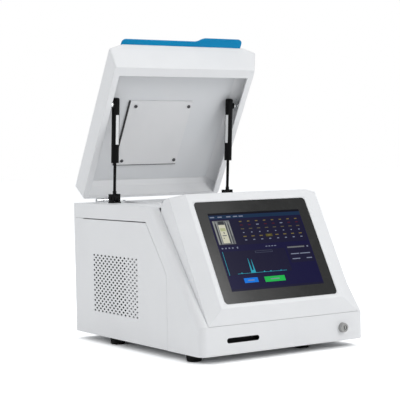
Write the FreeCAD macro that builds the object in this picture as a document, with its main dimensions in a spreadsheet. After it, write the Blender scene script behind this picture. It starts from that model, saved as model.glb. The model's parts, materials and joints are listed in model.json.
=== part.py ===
"""Bench-top x-ray fluorescence gold analyzer: a housing with a sloped touch screen in front and a
sample deck behind it, under a shielded lid that two struts hold open.

Millimetres, +Z up, the front facing -Y. The parts are drawn with the front face of the housing at
y = 0 and its underside at z = 0; the lid is drawn closed, then turned open about its hinge. At the
end everything is moved so that the middle of its footprint stands on the origin.
"""
import FreeCAD, Part
import math
import os
import re

import Sketcher

Vector = FreeCAD.Vector
Rotation = FreeCAD.Rotation
Placement = FreeCAD.Placement

SIZES = {
    # Housing
    "housing_width": 374.0,
    "housing_depth": 458.4,
    "deck_height": 261.4,
    "lip_height": 52.3,
    "cheek_width": 15.7,
    "cheek_top_y": 157.5,
    "corner_radius": 14.0,
    "wall": 3.0,
    "seam": 0.4,
    "gap": 0.3,
    "bore_gap": 0.06,
    "overrun": 5.0,
    "well_back_y": 151.4,
    "pan_thickness": 2.0,
    "pan_flange": 20.0,
    # Side panels
    "panel_front_y": 110.0,
    "panel_knee_z": 138.1,
    "panel_bend_y": 122.3,
    "panel_bend_z": 156.6,
    "panel_shoulder_y": 179.3,
    "panel_top_drop": 29.1,
    "finger_slit_rear_inset": 36.6,
    "finger_slit_height": 1.8,
    "vent_first_y": 215.6,
    "vent_first_z": 50.0,
    "vent_pitch_y": 14.8,
    "vent_pitch_z": 10.0,
    "vent_columns": 12,
    "vent_rows": 12,
    "vent_length": 8.4,
    "vent_height": 4.8,
    # Feet
    "foot_height": 14.0,
    "foot_radius": 15.0,
    "foot_front_y": 55.0,
    "foot_rear_inset": 130.4,
    "foot_side_inset": 21.0,
    "foot_front_right_inset": 109.0,
    # Front lip
    "slot_side_inset": 55.1,
    "slot_length": 70.8,
    "slot_z": 25.0,
    "slot_height": 9.3,
    "slot_rim": 1.0,
    "slot_depth": 9.0,
    "key_side_inset": 53.8,
    "key_z": 24.8,
    "key_ring_radius": 9.5,
    "key_ring_reach": 7.0,
    "key_barrel_radius": 7.6,
    "key_barrel_length": 26.0,
    "key_rotor_radius": 5.2,
    # Screen unit, drawn in its own sloped frame: x across, y up the slope, z outward
    "slope_angle": 61.4,
    "slope_foot_y": 7.0,
    "slope_foot_z": 88.0,
    "glass_side_inset": 57.0,
    "glass_height": 206.0,
    "glass_thickness": 3.0,
    "glass_radius": 10.0,
    "glass_sink": 0.5,
    "land_side_inset": 47.0,
    "land_low": -7.0,
    "land_high": 222.6,
    "facet_low": -34.2,
    "facet_high": 222.0,
    "facet_drop": 11.2,
    "bezel_wall": 3.0,
    "unit_rear_y": 149.4,
    "unit_ridge_y": 137.0,
    "unit_ridge_rise": 12.6,
    "lcd_side_margin": 17.5,
    "lcd_height": 172.0,
    "lcd_low": 17.0,
    "lcd_thickness": 6.0,
    # Stage
    "stage_x": -22.5,
    "stage_rear_inset": 141.6,
    "stage_width": 190.0,
    "stage_depth": 170.0,
    "stage_thickness": 3.0,
    "window_radius": 11.0,
    "aperture_radius": 21.0,
    "aperture_height": 2.0,
    "stage_opening": 120.0,
    # Lid, closed; heights are above the rim plane
    "lid_rim_gap": 0.7,
    "lid_rim_front_y": 157.9,
    "lid_rim_rear_inset": 3.1,
    "lid_rim_side_inset": 19.0,
    "lid_waist_height": 24.8,
    "lid_waist_front_y": 130.2,
    "lid_waist_rear_inset": 15.1,
    "lid_waist_side_inset": 10.5,
    "lid_height": 31.4,
    "lid_roof_front_y": 122.8,
    "lid_roof_rear_inset": 27.4,
    "lid_roof_side_inset": 42.0,
    "lid_wall": 3.0,
    "lid_corner_radius": 5.0,
    "lid_side_flange": 13.4,
    "lid_front_flange": 18.3,
    "liner_thickness": 1.4,
    "shield_width": 149.0,
    "shield_depth": 147.9,
    "shield_thickness": 3.0,
    "grip_thickness": 4.0,
    "grip_left_inset": 40.0,
    "grip_right_inset": 49.0,
    "grip_rear_y": 182.0,
    "grip_front_y": 112.3,
    "grip_step_y": 104.3,
    "grip_step_start_x": 12.0,
    "grip_step_end_x": 43.0,
    "grip_corner_radius": 8.0,
    # Hinge
    "hinge_behind": 3.6,
    "hinge_rise": 2.9,
    "open_angle": 60.57,
    "barrel_radius": 4.4,
    "hinge_pin_radius": 2.0,
    "hinge_side_inset": 98.1,
    "knuckle_length": 14.6,
    "hinge_lea": 2.5,
    "hinge_leaf_drop": 24.0,
    # Struts: foot on the deck, head in the lid
    "strut_side_inset": 49.0,
    "strut_foot_rear_inset": 80.4,
    "strut_foot_rise": 10.1,
    "strut_head_rear_inset": 211.9,
    "strut_head_rise": 13.0,
    "strut_rod_radius": 3.0,
    "strut_rod_start": 14.0,
    "strut_rod_end": 110.0,
    "strut_tube_radius": 7.75,
    "strut_tube_wall": 1.2,
    "strut_tube_start": 70.5,
    "strut_tube_length": 100.5,
    "strut_head_radius": 7.8,
    "strut_head_reach": 14.0,
    "strut_eye_radius": 7.5,
    "strut_eye_width": 8.0,
    "strut_ear_width": 5.7,
    "strut_pin_radius": 3.0,
    "strut_stud_gap": 0.3,
    # Rear panel
    "fan_side_inset": 92.0,
    "fan_z": 165.0,
    "fan_side": 80.0,
    "fan_depth": 25.0,
    "fan_hub_radius": 16.0,
    "fan_tip_radius": 36.5,
    "inlet_side_inset": 62.0,
    "inlet_z": 60.0,
    "rocker_z": 100.0,
    "rocker_reach": 10.0,
    "port_z": 60.0,
    # Interlock
    "plunger_rim_inset": 7.0,
    "plunger_y": 300.0,
    "plunger_radius": 3.0,
}

# Places and widths that follow from the sizes above
WORKED_OUT = {
    "half_width": "housing_width / 2",
    "unit_half_width": "half_width - cheek_width",
    "panel_inner_x": "half_width - wall",
    "deck_underside": "deck_height - wall",
    "rim_z": "deck_height + lid_rim_gap",
    "waist_z": "rim_z + lid_waist_height",
    "roof_z": "rim_z + lid_height",
    "panel_top_z": "deck_height - panel_top_drop",
    "finger_slit_end_y": "housing_depth - finger_slit_rear_inset",
    "foot_rear_y": "housing_depth - foot_rear_inset",
    "foot_left_x": "foot_side_inset - half_width",
    "foot_right_x": "half_width - foot_side_inset",
    "foot_front_right_x": "half_width - foot_front_right_inset",
    "slot_left_x": "slot_side_inset - half_width",
    "slot_right_x": "slot_left_x + slot_length",
    "key_x": "half_width - key_side_inset",
    "glass_width": "2 * (half_width - glass_side_inset)",
    "land_half_width": "half_width - land_side_inset",
    "unit_ridge_z": "deck_height + unit_ridge_rise",
    "lcd_width": "glass_width - 2 * lcd_side_margin",
    "stage_y": "housing_depth - stage_rear_inset",
    "lid_rim_rear_y": "housing_depth - lid_rim_rear_inset",
    "lid_rim_half_width": "half_width - lid_rim_side_inset",
    "lid_waist_rear_y": "housing_depth - lid_waist_rear_inset",
    "lid_waist_half_width": "half_width - lid_waist_side_inset",
    "lid_roof_rear_y": "housing_depth - lid_roof_rear_inset",
    "lid_roof_half_width": "half_width - lid_roof_side_inset",
    "shield_left_x": "stage_x - shield_width / 2",
    "shield_right_x": "stage_x + shield_width / 2",
    "shield_front_y": "stage_y - shield_depth / 2",
    "shield_rear_y": "stage_y + shield_depth / 2",
    "grip_left_x": "grip_left_inset - half_width",
    "grip_right_x": "half_width - grip_right_inset",
    "hinge_y": "housing_depth + hinge_behind",
    "hinge_z": "deck_height + hinge_rise",
    "hinge_inner_x": "half_width - hinge_side_inset",
    "strut_x": "half_width - strut_side_inset",
    "strut_foot_y": "housing_depth - strut_foot_rear_inset",
    "strut_foot_z": "deck_height + strut_foot_rise",
    "strut_head_y": "housing_depth - strut_head_rear_inset",
    "strut_head_z": "deck_height + strut_head_rise",
    "fan_x": "half_width - fan_side_inset",
    "inlet_x": "inlet_side_inset - half_width",
    "rocker_x": "inlet_x",
    "plunger_x": "lid_rim_half_width - plunger_rim_inset",
}

doc = FreeCAD.newDocument("gold_analyzer")
sheet = doc.addObject("Spreadsheet::Sheet", "Sizes")
for row, (alias, number) in enumerate(SIZES.items(), start=1):
    sheet.set(f"A{row}", alias)
    sheet.set(f"B{row}", str(number))
    sheet.setAlias(f"B{row}", alias)
doc.recompute()
places = doc.addObject("App::FeaturePython", "Places")
NODES = []


def formula(text):
    """The same formula with every name written as a cell of the sheet or a worked-out place."""
    def owner(match):
        name = match.group(0)
        if name in SIZES:
            return f"Sizes.{name}"
        return f"Places.{name}" if name in WORKED_OUT else name
    return re.sub(r"[a-z][a-z_0-9]*", owner, str(text))


def bind(item, prop, text):
    item.setExpression(prop, formula(text))


for name in WORKED_OUT:
    places.addProperty("App::PropertyFloat", name)
for name, text in WORKED_OUT.items():
    bind(places, name, text)
doc.recompute()


def size(name):
    """The number of one size or worked-out place."""
    return float(sheet.get(name)) if name in SIZES else places.getPropertyByName(name)


def block(name, x_range, y_range, z_range):
    """A box between two formulas along each axis."""
    item = doc.addObject("Part::Box", name)
    for prop, axis, (low, high) in (("Length", "x", x_range), ("Width", "y", y_range),
                                    ("Height", "z", z_range)):
        bind(item, prop, f"({high}) - ({low})")
        bind(item, f"Placement.Base.{axis}", low)
    return item


ROD_TURNS = {"X": Rotation(Vector(0, 1, 0), 90), "Y": Rotation(Vector(1, 0, 0), -90),
             "Z": Rotation()}


def put(item, turn, x, y, z):
    """Turns the item, then binds its place."""
    item.Placement = Placement(Vector(), turn)
    for axis, text in (("x", x), ("y", y), ("z", z)):
        bind(item, f"Placement.Base.{axis}", text)
    return item


def rod(name, axis, radius, x, y, z, length):
    """A round bar that starts at x, y, z and runs along the axis."""
    item = doc.addObject("Part::Cylinder", name)
    bind(item, "Radius", radius)
    bind(item, "Height", length)
    return put(item, ROD_TURNS[axis], x, y, z)


def post(name, axis, radius, x, y, z, length, sides=12):
    """A many-sided bar, for bolt heads, nuts and small hidden parts."""
    item = doc.addObject("Part::Prism", name)
    item.Polygon = sides
    bind(item, "Circumradius", radius)
    bind(item, "Height", length)
    return put(item, ROD_TURNS[axis], x, y, z)


def pin_points(sketch, points):
    """A closed outline whose corners are held at formulas for their coordinates."""
    count = len(points)
    ring = [Vector(math.cos(2 * math.pi * i / count), math.sin(2 * math.pi * i / count), 0) * 100
            for i in range(count)]
    sketch.addGeometry([Part.LineSegment(ring[i], ring[(i + 1) % count]) for i in range(count)])
    sketch.addConstraint([Sketcher.Constraint("Coincident", i, 2, (i + 1) % count, 1)
                          for i in range(count)])
    for index, (across, up) in enumerate(points):
        for kind, start, text in (("DistanceX", ring[index].x, across),
                                  ("DistanceY", ring[index].y, up)):
            number = sketch.addConstraint(
                Sketcher.Constraint(kind, -1, 1, index, 1, start))
            sketch.setExpression(f"Constraints[{number}]", formula(text))


SKETCH_TURNS = {"XY": (Rotation(), Vector(0, 0, 1), "z"),
                "XZ": (Rotation(Vector(1, 0, 0), 90), Vector(0, 1, 0), "y"),
                "YZ": (Rotation(Vector(1, 1, 1), 120), Vector(1, 0, 0), "x")}


def outline(name, plane, points, start="0"):
    """A free sketch lying in the plane at a distance along its axis."""
    sketch = doc.addObject("Sketcher::SketchObject", name)
    turn, direction, axis = SKETCH_TURNS[plane]
    sketch.Placement = Placement(Vector(), turn)
    bind(sketch, f"Placement.Base.{axis}", start)
    pin_points(sketch, points)
    return sketch


def prism(name, plane, points, start, end):
    """A straight solid from an outline, between two distances along the plane's axis."""
    item = doc.addObject("Part::Extrusion", name)
    item.Base = outline(f"{name}_outline", plane, points, start)
    item.DirMode = "Custom"
    item.Dir = SKETCH_TURNS[plane][1]
    bind(item, "LengthFwd", f"({end}) - ({start})")
    item.Solid = True
    return item


def fuse(name, parts):
    item = doc.addObject("Part::MultiFuse", name)
    item.Shapes = parts
    return item


def group(name, parts):
    """Separate solids kept together."""
    item = doc.addObject("Part::Compound", name)
    item.Links = parts
    return item


def cut(name, base, tools):
    item = doc.addObject("Part::Cut", name)
    item.Base = base
    item.Tool = tools[0] if len(tools) == 1 else group(f"{name}_cutters", tools)
    return item


def ring(name, axis, outer, inner, x, y, z, length):
    """A tube: a round bar with a bore right through it."""
    start = {"X": x, "Y": y, "Z": z}
    start[axis] = f"({start[axis]}) - overrun"
    bore = rod(f"{name}_bore", axis, inner, start["X"], start["Y"], start["Z"],
               f"({length}) + 2 * overrun")
    return cut(name, rod(f"{name}_blank", axis, outer, x, y, z, length), [bore])


def rectangle(low_x, high_x, low_y, high_y):
    return [(low_x, low_y), (high_x, low_y), (high_x, high_y), (low_x, high_y)]


def body(name):
    return doc.addObject("PartDesign::Body", name)


def attached(owner, name, plane, points, offset="0"):
    """A sketch on one of the body's own origin planes, or at an offset from it."""
    sketch = owner.newObject("Sketcher::SketchObject", name)
    origin_plane = [item for item in owner.Origin.OriginFeatures if item.Role == f"{plane}_Plane"]
    sketch.AttachmentSupport = [(origin_plane[0], "")]
    sketch.MapMode = "FlatFace"
    bind(sketch, "AttachmentOffset.Base.z", offset)
    pin_points(sketch, points)
    return sketch


def pad(owner, name, plane, points, length, offset="0", both_ways=False):
    feature = owner.newObject("PartDesign::Pad", name)
    feature.Profile = attached(owner, f"{name}_outline", plane, points, offset)
    feature.Midplane = both_ways
    bind(feature, "Length", length)
    return feature


def pocket(owner, name, plane, points, length, offset="0", both_ways=True):
    feature = owner.newObject("PartDesign::Pocket", name)
    feature.Profile = attached(owner, f"{name}_outline", plane, points, offset)
    feature.Midplane = both_ways
    bind(feature, "Length", length)
    return feature


def round_off(owner, name, radius, chosen):
    """Rounds the edges of the body so far whose middle point is chosen."""
    doc.recompute()
    base = owner.Tip
    names = [f"Edge{index}" for index, edge in enumerate(base.Shape.Edges, start=1)
             if chosen(edge, edge.valueAt((edge.FirstParameter + edge.LastParameter) / 2))]
    feature = owner.newObject("PartDesign::Fillet", name)
    feature.Base = (base, names)
    bind(feature, "Radius", radius)
    doc.recompute()
    return feature


def upright(edge):
    """True for a straight edge along Z."""
    ends = [vertex.Point for vertex in edge.Vertexes]
    return len(ends) == 2 and (ends[0] - ends[1]).cross(Vector(0, 0, 1)).Length < 0.01


def leans(edge):
    """True for an edge that rises from one height to another."""
    ends = [vertex.Point for vertex in edge.Vertexes]
    return abs(ends[0].z - ends[1].z) > 0.01


def placed(name, item, placement):
    """The item once more, carried to another place."""
    carrier = group(name, [item])
    carrier.Placement = placement
    return carrier


def node(label, item, carrier="base"):
    """Registers a finished part; the carrier says which frame it was drawn in."""
    if item.TypeId in ("Part::Box", "Part::Cylinder", "Part::Prism"):
        # Its own place is bound to the sheet, so a group carries it.
        item.Label = f"{label}_solid"
        item = group(f"{label}_node", [item])
    item.Label = label
    NODES.append((item, carrier))


SLOPE = Placement(Vector(0, size("slope_foot_y"), size("slope_foot_z")),
                  Rotation(Vector(1, 0, 0), size("slope_angle")))


# Housing

def side_outline(inset):
    """The outline of a side panel in Y and Z, drawn in from its opening by the inset."""
    return [(f"panel_front_y + {inset}", f"{inset}"),
            (f"panel_front_y + {inset}", f"panel_knee_z - {inset}"),
            (f"panel_bend_y + {inset}", f"panel_bend_z - {inset}"),
            (f"panel_shoulder_y + {inset}", f"panel_top_z - {inset}"),
            ("housing_depth", f"panel_top_z - {inset}"),
            ("housing_depth", f"{inset}")]


def stadium(name, rim, y_start, y_end):
    """The front slot's round-ended shape, smaller all round by the rim."""
    radius = f"(slot_height / 2 - {rim})"
    left = "slot_left_x + slot_height / 2"
    right = "slot_right_x - slot_height / 2"
    middle = block(f"{name}_middle", (left, right), (y_start, y_end),
                   (f"slot_z - {radius}", f"slot_z + {radius}"))
    ends = [rod(f"{name}_{side}_end", "Y", radius, x, y_start, "slot_z",
                f"({y_end}) - ({y_start})") for side, x in (("left", left), ("right", right))]
    return fuse(name, [middle] + ends)


def add_housing():
    shell = body("shell_body")
    pad(shell, "shell_blank", "YZ",
        [("0", "0"), ("0", "lip_height"), ("cheek_top_y", "deck_height"),
         ("housing_depth", "deck_height"), ("housing_depth", "0")],
        "housing_width", both_ways=True)
    side_x = size("half_width")
    round_off(shell, "cheek_rounding", "corner_radius",
              lambda edge, middle: abs(abs(middle.x) - side_x) < 0.01
              and middle.y < size("cheek_top_y") and middle.z > 1)
    pocket(shell, "unit_well", "YZ",
           [("wall", "-overrun"), ("wall", "lip_height"), ("-overrun", "lip_height"),
            ("-overrun", "deck_height + overrun"), ("well_back_y", "deck_height + overrun"),
            ("well_back_y", "deck_underside"), ("housing_depth + overrun", "deck_underside"),
            ("housing_depth + overrun", "-overrun")],
           "2 * unit_half_width")
    openings = side_outline("0")
    openings[0] = ("panel_front_y", "-overrun")
    openings[4] = ("housing_depth + overrun", "panel_top_z")
    openings[5] = ("housing_depth + overrun", "-overrun")
    pocket(shell, "side_openings", "YZ", openings, "housing_width + 2 * overrun")
    pocket(shell, "top_band_hollow", "YZ",
           rectangle("panel_shoulder_y + wall", "housing_depth + overrun",
                     "panel_top_z - overrun", "deck_underside"),
           "2 * panel_inner_x")
    half_opening = "stage_opening / 2"
    stage_hole = block("stage_hole",
                       (f"stage_x - {half_opening}", f"stage_x + {half_opening}"),
                       (f"stage_y - {half_opening}", f"stage_y + {half_opening}"),
                       ("deck_underside - overrun", "deck_height + overrun"))
    plunger_hole = rod("plunger_hole", "Z", "plunger_radius + bore_gap", "plunger_x", "plunger_y",
                       "deck_underside - overrun", "wall + 2 * overrun")
    key_hole = rod("key_hole", "Y", "key_barrel_radius + bore_gap", "key_x", "-overrun", "key_z",
                   "wall + 2 * overrun")
    slot_hole = stadium("slot_hole", "0", "-overrun", "wall + overrun")
    node("housing_shell", cut("housing_shell", shell,
                              [stage_hole, plunger_hole, key_hole, slot_hole]))

    # The slot's insert is a round-ended tray with a rim that lines the hole.
    insert = cut("port_insert", stadium("insert_outer", "bore_gap", "0", "slot_depth"),
                 [stadium("insert_hollow", "slot_rim", "-overrun", "slot_depth - slot_rim")])
    node("port_insert", insert)


FEET = (("foot_left_x", "foot_front_y"), ("foot_left_x", "foot_rear_y"),
        ("foot_front_right_x", "foot_front_y"), ("foot_right_x", "foot_rear_y"))


def add_pan():
    pan = body("base_pan")
    edge_x = "(panel_inner_x - seam)"
    cheek_x = "(unit_half_width - seam)"
    front = "wall + seam"
    step = "panel_front_y + seam"
    rear = "housing_depth - wall - seam"
    pad(pan, "floor", "XY",
        [(f"-{cheek_x}", front), (cheek_x, front), (cheek_x, step), (edge_x, step),
         (edge_x, rear), (f"-{edge_x}", rear), (f"-{edge_x}", step), (f"-{cheek_x}", step)],
        "pan_thickness")
    for side, low, high in (("left", f"-{edge_x}", f"-{edge_x} + pan_thickness"),
                            ("right", f"{edge_x} - pan_thickness", edge_x)):
        pad(pan, f"{side}_flange", "XY", rectangle(low, high, step, rear), "pan_flange",
            offset="pan_thickness")
    node("base_pan", pan)

    feet = [post(f"foot_{index}", "Z", "foot_radius", x, y, "-foot_height", "foot_height", sides=16)
            for index, (x, y) in enumerate(FEET)]
    node("feet", group("feet", feet))


def vent_wire(y, z, x):
    """One four-cornered slot of the vent field as a wire in the plane X = x."""
    reach = size("vent_length") / 2
    rise = size("vent_height") / 2
    corners = [(-reach, 0), (0, -rise), (reach, 0), (0, rise)]
    points = [Vector(x, y + across, z + up) for across, up in corners]
    return Part.makePolygon(points + points[:1])


def vent_centres():
    """Twelve by twelve vents with eleven by eleven more between them."""
    columns, rows = int(size("vent_columns")), int(size("vent_rows"))
    first_y, first_z = size("vent_first_y"), size("vent_first_z")
    pitch_y, pitch_z = size("vent_pitch_y"), size("vent_pitch_z")
    centres = [(first_y + column * pitch_y, first_z + row * pitch_z)
               for column in range(columns) for row in range(rows)]
    centres += [(first_y + (column + 0.5) * pitch_y, first_z + (row + 0.5) * pitch_z)
                for column in range(columns - 1) for row in range(rows - 1)]
    return centres


def side_panel(label, inner_x, outer_x, vented):
    """A side panel; the finger slit is a shallow notch along its top edge."""
    edge = side_outline("seam")
    slit_end = ("finger_slit_end_y", "panel_top_z - seam")
    points = edge[:3] + [("panel_shoulder_y", "panel_top_z - finger_slit_height"),
                         ("finger_slit_end_y", "panel_top_z - finger_slit_height"),
                         slit_end] + edge[4:]
    plate = prism(f"{label}_plate", "YZ", points, inner_x, outer_x)
    if not vented:
        return plate
    # Hundreds of equal vents are cut by one solid made from their outlines.
    start = -size("half_width") - 1
    vents = doc.addObject("Part::Feature", f"{label}_vents")
    depth = Vector(size("wall") + 2, 0, 0)
    vents.Shape = Part.makeCompound([Part.Face(vent_wire(y, z, start)).extrude(depth)
                                     for y, z in vent_centres()])
    return cut(label, plate, [vents])


def add_panels():
    node("left_side_panel", side_panel("left_side_panel", "-half_width", "-panel_inner_x",
                                       True))
    node("right_side_panel", side_panel("right_side_panel", "panel_inner_x", "half_width", False))


def window_block(name, x, z, width, height, y_start, y_end):
    """A block centred on x and z, through the rear panel or on it."""
    return block(name, (f"{x} - {width} / 2", f"{x} + {width} / 2"), (y_start, y_end),
                 (f"{z} - {height} / 2", f"{z} + {height} / 2"))


PORTS = ((-60, 16, 14), (-35, 16, 14), (-10, 15, 7), (12, 15, 7))


def add_rear():
    inner_y = "(housing_depth - wall)"
    outside = "housing_depth + overrun"
    inside = f"{inner_y} - overrun"
    edge_x = "(panel_inner_x - seam)"
    plate = block("rear_plate", (f"-{edge_x}", edge_x), (inner_y, "housing_depth"),
                  ("seam", "deck_underside - gap"))
    holes = [rod("fan_hole", "Y", "fan_tip_radius + 1.5", "fan_x", inside, "fan_z",
                 "wall + 2 * overrun"),
             window_block("inlet_hole", "inlet_x", "inlet_z", 28, 21, inside, outside),
             window_block("rocker_hole", "rocker_x", "rocker_z", 28, 13.5, inside, outside)]
    corners = [(f"{side} * ({edge_x} - 12)", z) for side in (-1, 1)
               for z in ("20", "deck_height - 24")]
    holes += [window_block(f"port_hole_{index}", x, "port_z", width, height, inside, outside)
              for index, (x, width, height) in enumerate(PORTS)]
    node("rear_panel", cut("rear_panel", plate, holes))

    screws = [post(f"rear_screw_{index}", "Y", "3", x, "housing_depth", z, "1.8", sides=6)
              for index, (x, z) in enumerate(corners)]
    node("rear_panel_screws", group("rear_panel_screws", screws))

    # Mains inlet: a flanged block with a recess and three blades in it.
    flange = window_block("inlet_flange", "inlet_x", "inlet_z", 48, 30, "housing_depth",
                          "housing_depth + 2")
    barrel = window_block("inlet_barrel", "inlet_x", "inlet_z", 27, 20, "housing_depth - 24",
                          "housing_depth + 2")
    recess = window_block("inlet_recess", "inlet_x", "inlet_z", 24, 17, "housing_depth - 16",
                          outside)
    blades = [window_block(f"inlet_blade_{index}", f"inlet_x + {x}", f"inlet_z + {z}", 2, 5,
                           "housing_depth - 17", "housing_depth - 3")
              for index, (x, z) in enumerate(((-7, -2), (0, 2), (7, -2)))]
    node("power_inlet", fuse("power_inlet", [
        cut("inlet_socket", fuse("inlet_blank", [flange, barrel]), [recess])] + blades))

    frame = window_block("rocker_frame_blank", "rocker_x", "rocker_z", 27, 13,
                         "housing_depth - 16", "housing_depth")
    rim = window_block("rocker_rim", "rocker_x", "rocker_z", 31, 16, "housing_depth",
                       "housing_depth + 1.6")
    hollow = window_block("rocker_hollow", "rocker_x", "rocker_z", 24, 10.5,
                          "housing_depth - 13", outside)
    node("rocker_frame", cut("rocker_frame", fuse("rocker_frame_body", [frame, rim]), [hollow]))
    left, right = "rocker_x - rocker_reach", "rocker_x + rocker_reach"
    tilt = [(left, "housing_depth + 1.4"), (left, "housing_depth - 3"),
            ("rocker_x - 2", "housing_depth - 7"), ("rocker_x + 2", "housing_depth - 7"),
            (right, "housing_depth - 3"), (right, "housing_depth + 3.8"),
            ("rocker_x", "housing_depth + 1.2")]
    hub = rod("rocker_hub", "Z", "3.5", "rocker_x", "housing_depth - 4", "rocker_z - 5.1", "10.2")
    key = prism("rocker_key", "XY", tilt, "rocker_z - 4.9", "rocker_z + 4.9")
    node("power_rocker", fuse("power_rocker", [key, hub]))

    sockets = []
    for index, (x, width, height) in enumerate(PORTS):
        shell = window_block(f"port_{index}_shell", x, "port_z", width - 0.4, height - 0.4,
                             "housing_depth - 18", "housing_depth + 0.8")
        mouth = window_block(f"port_{index}_mouth", x, "port_z", width - 2.4, height - 2.4,
                             "housing_depth - 12", outside)
        sockets.append(cut(f"port_{index}", shell, [mouth]))
    node("rear_ports", group("rear_ports", sockets))


def add_fan():
    half = "fan_side / 2"
    front = "(housing_depth - wall - fan_depth)"
    blank = block("fan_block", (f"fan_x - {half}", f"fan_x + {half}"),
                  (front, f"{front} + fan_depth"), (f"fan_z - {half}", f"fan_z + {half}"))
    duct = rod("fan_duct", "Y", "fan_tip_radius + 1.5", "fan_x", f"{front} - overrun", "fan_z",
               "fan_depth + 2 * overrun")
    spokes = [block("fan_spoke_across", ("fan_x - fan_side / 2 + 1", "fan_x + fan_side / 2 - 1"),
                    (front, f"{front} + 2.5"), ("fan_z - 2", "fan_z + 2")),
              block("fan_spoke_up", ("fan_x - 2", "fan_x + 2"), (front, f"{front} + 2.5"),
                    ("fan_z - fan_side / 2 + 1", "fan_z + fan_side / 2 - 1")),
              post("fan_motor_seat", "Y", "fan_hub_radius", "fan_x", front, "fan_z", "3"),
              rod("fan_axle", "Y", "2", "fan_x", front, "fan_z", "14")]
    node("fan_frame", fuse("fan_frame", [cut("fan_housing", blank, [duct])] + spokes))

    hub_front = f"{front} + 3 + gap"
    hub = rod("fan_hub", "Y", "fan_hub_radius", "fan_x", hub_front, "fan_z", "18")
    bore = rod("fan_hub_bore", "Y", "2 + bore_gap", "fan_x", f"{hub_front} - overrun", "fan_z",
               "11 + overrun")
    # Each blade is drawn upright over the axis, pitched about its own length, then turned round.
    centre = Placement(Vector(size("fan_x"),
                              size("housing_depth") - size("wall") - size("fan_depth") + 12.5,
                              size("fan_z")), Rotation())
    blades = []
    for index in range(7):
        blade = block(f"fan_blade_{index}", ("-7.5", "7.5"), ("-0.8", "0.8"),
                      ("fan_hub_radius - 2", "fan_tip_radius"))
        pitched = placed(f"fan_blade_{index}_pitched", blade,
                         Placement(Vector(), Rotation(Vector(0, 0, 1), 42)))
        turn = Placement(Vector(), Rotation(Vector(0, 1, 0), 360 * index / 7))
        blades.append(placed(f"fan_blade_{index}_turned", pitched, centre.multiply(turn)))
    node("fan_rotor", cut("fan_rotor", fuse("fan_wheel", [hub] + blades), [bore]))


# Front key switch

def add_key_switch():
    ring_front = "(-key_ring_reach)"
    flange = doc.addObject("Part::Cone", "key_flange")
    bind(flange, "Radius1", "key_ring_radius - 1")
    bind(flange, "Radius2", "key_ring_radius")
    bind(flange, "Height", "key_ring_reach")
    put(flange, ROD_TURNS["Y"], "key_x", ring_front, "key_z")
    barrel = rod("key_barrel", "Y", "key_barrel_radius", "key_x", "0", "key_z",
                 "key_barrel_length")
    bore = rod("key_bore", "Y", "key_rotor_radius + bore_gap", "key_x",
               f"{ring_front} - overrun", "key_z", "key_ring_reach + overrun + 20")
    node("key_switch_body", cut("key_switch_body",
                                fuse("key_switch_blank", [flange, barrel]), [bore]))
    nut = prism("key_nut_blank", "XZ",
                [(f"key_x + 11.5 * cos({60 * i})", f"key_z + 11.5 * sin({60 * i})")
                 for i in range(6)], "wall", "wall + 4")
    nut_bore = post("key_nut_bore", "Y", "key_barrel_radius + gap", "key_x", "wall - overrun",
                   "key_z", "4 + 2 * overrun")
    node("key_switch_nut", cut("key_switch_nut", nut, [nut_bore]))
    plug = rod("key_plug", "Y", "key_rotor_radius", "key_x", f"{ring_front} + 1.2", "key_z",
               "key_ring_reach + 15")
    keyway = block("key_way", ("key_x - 0.9", "key_x + 0.9"), (f"{ring_front} - overrun", "6"),
                   ("key_z - 3.6", "key_z + 3.6"))
    node("key_switch_rotor", cut("key_switch_rotor", plug, [keyway]))


# Screen unit

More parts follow.
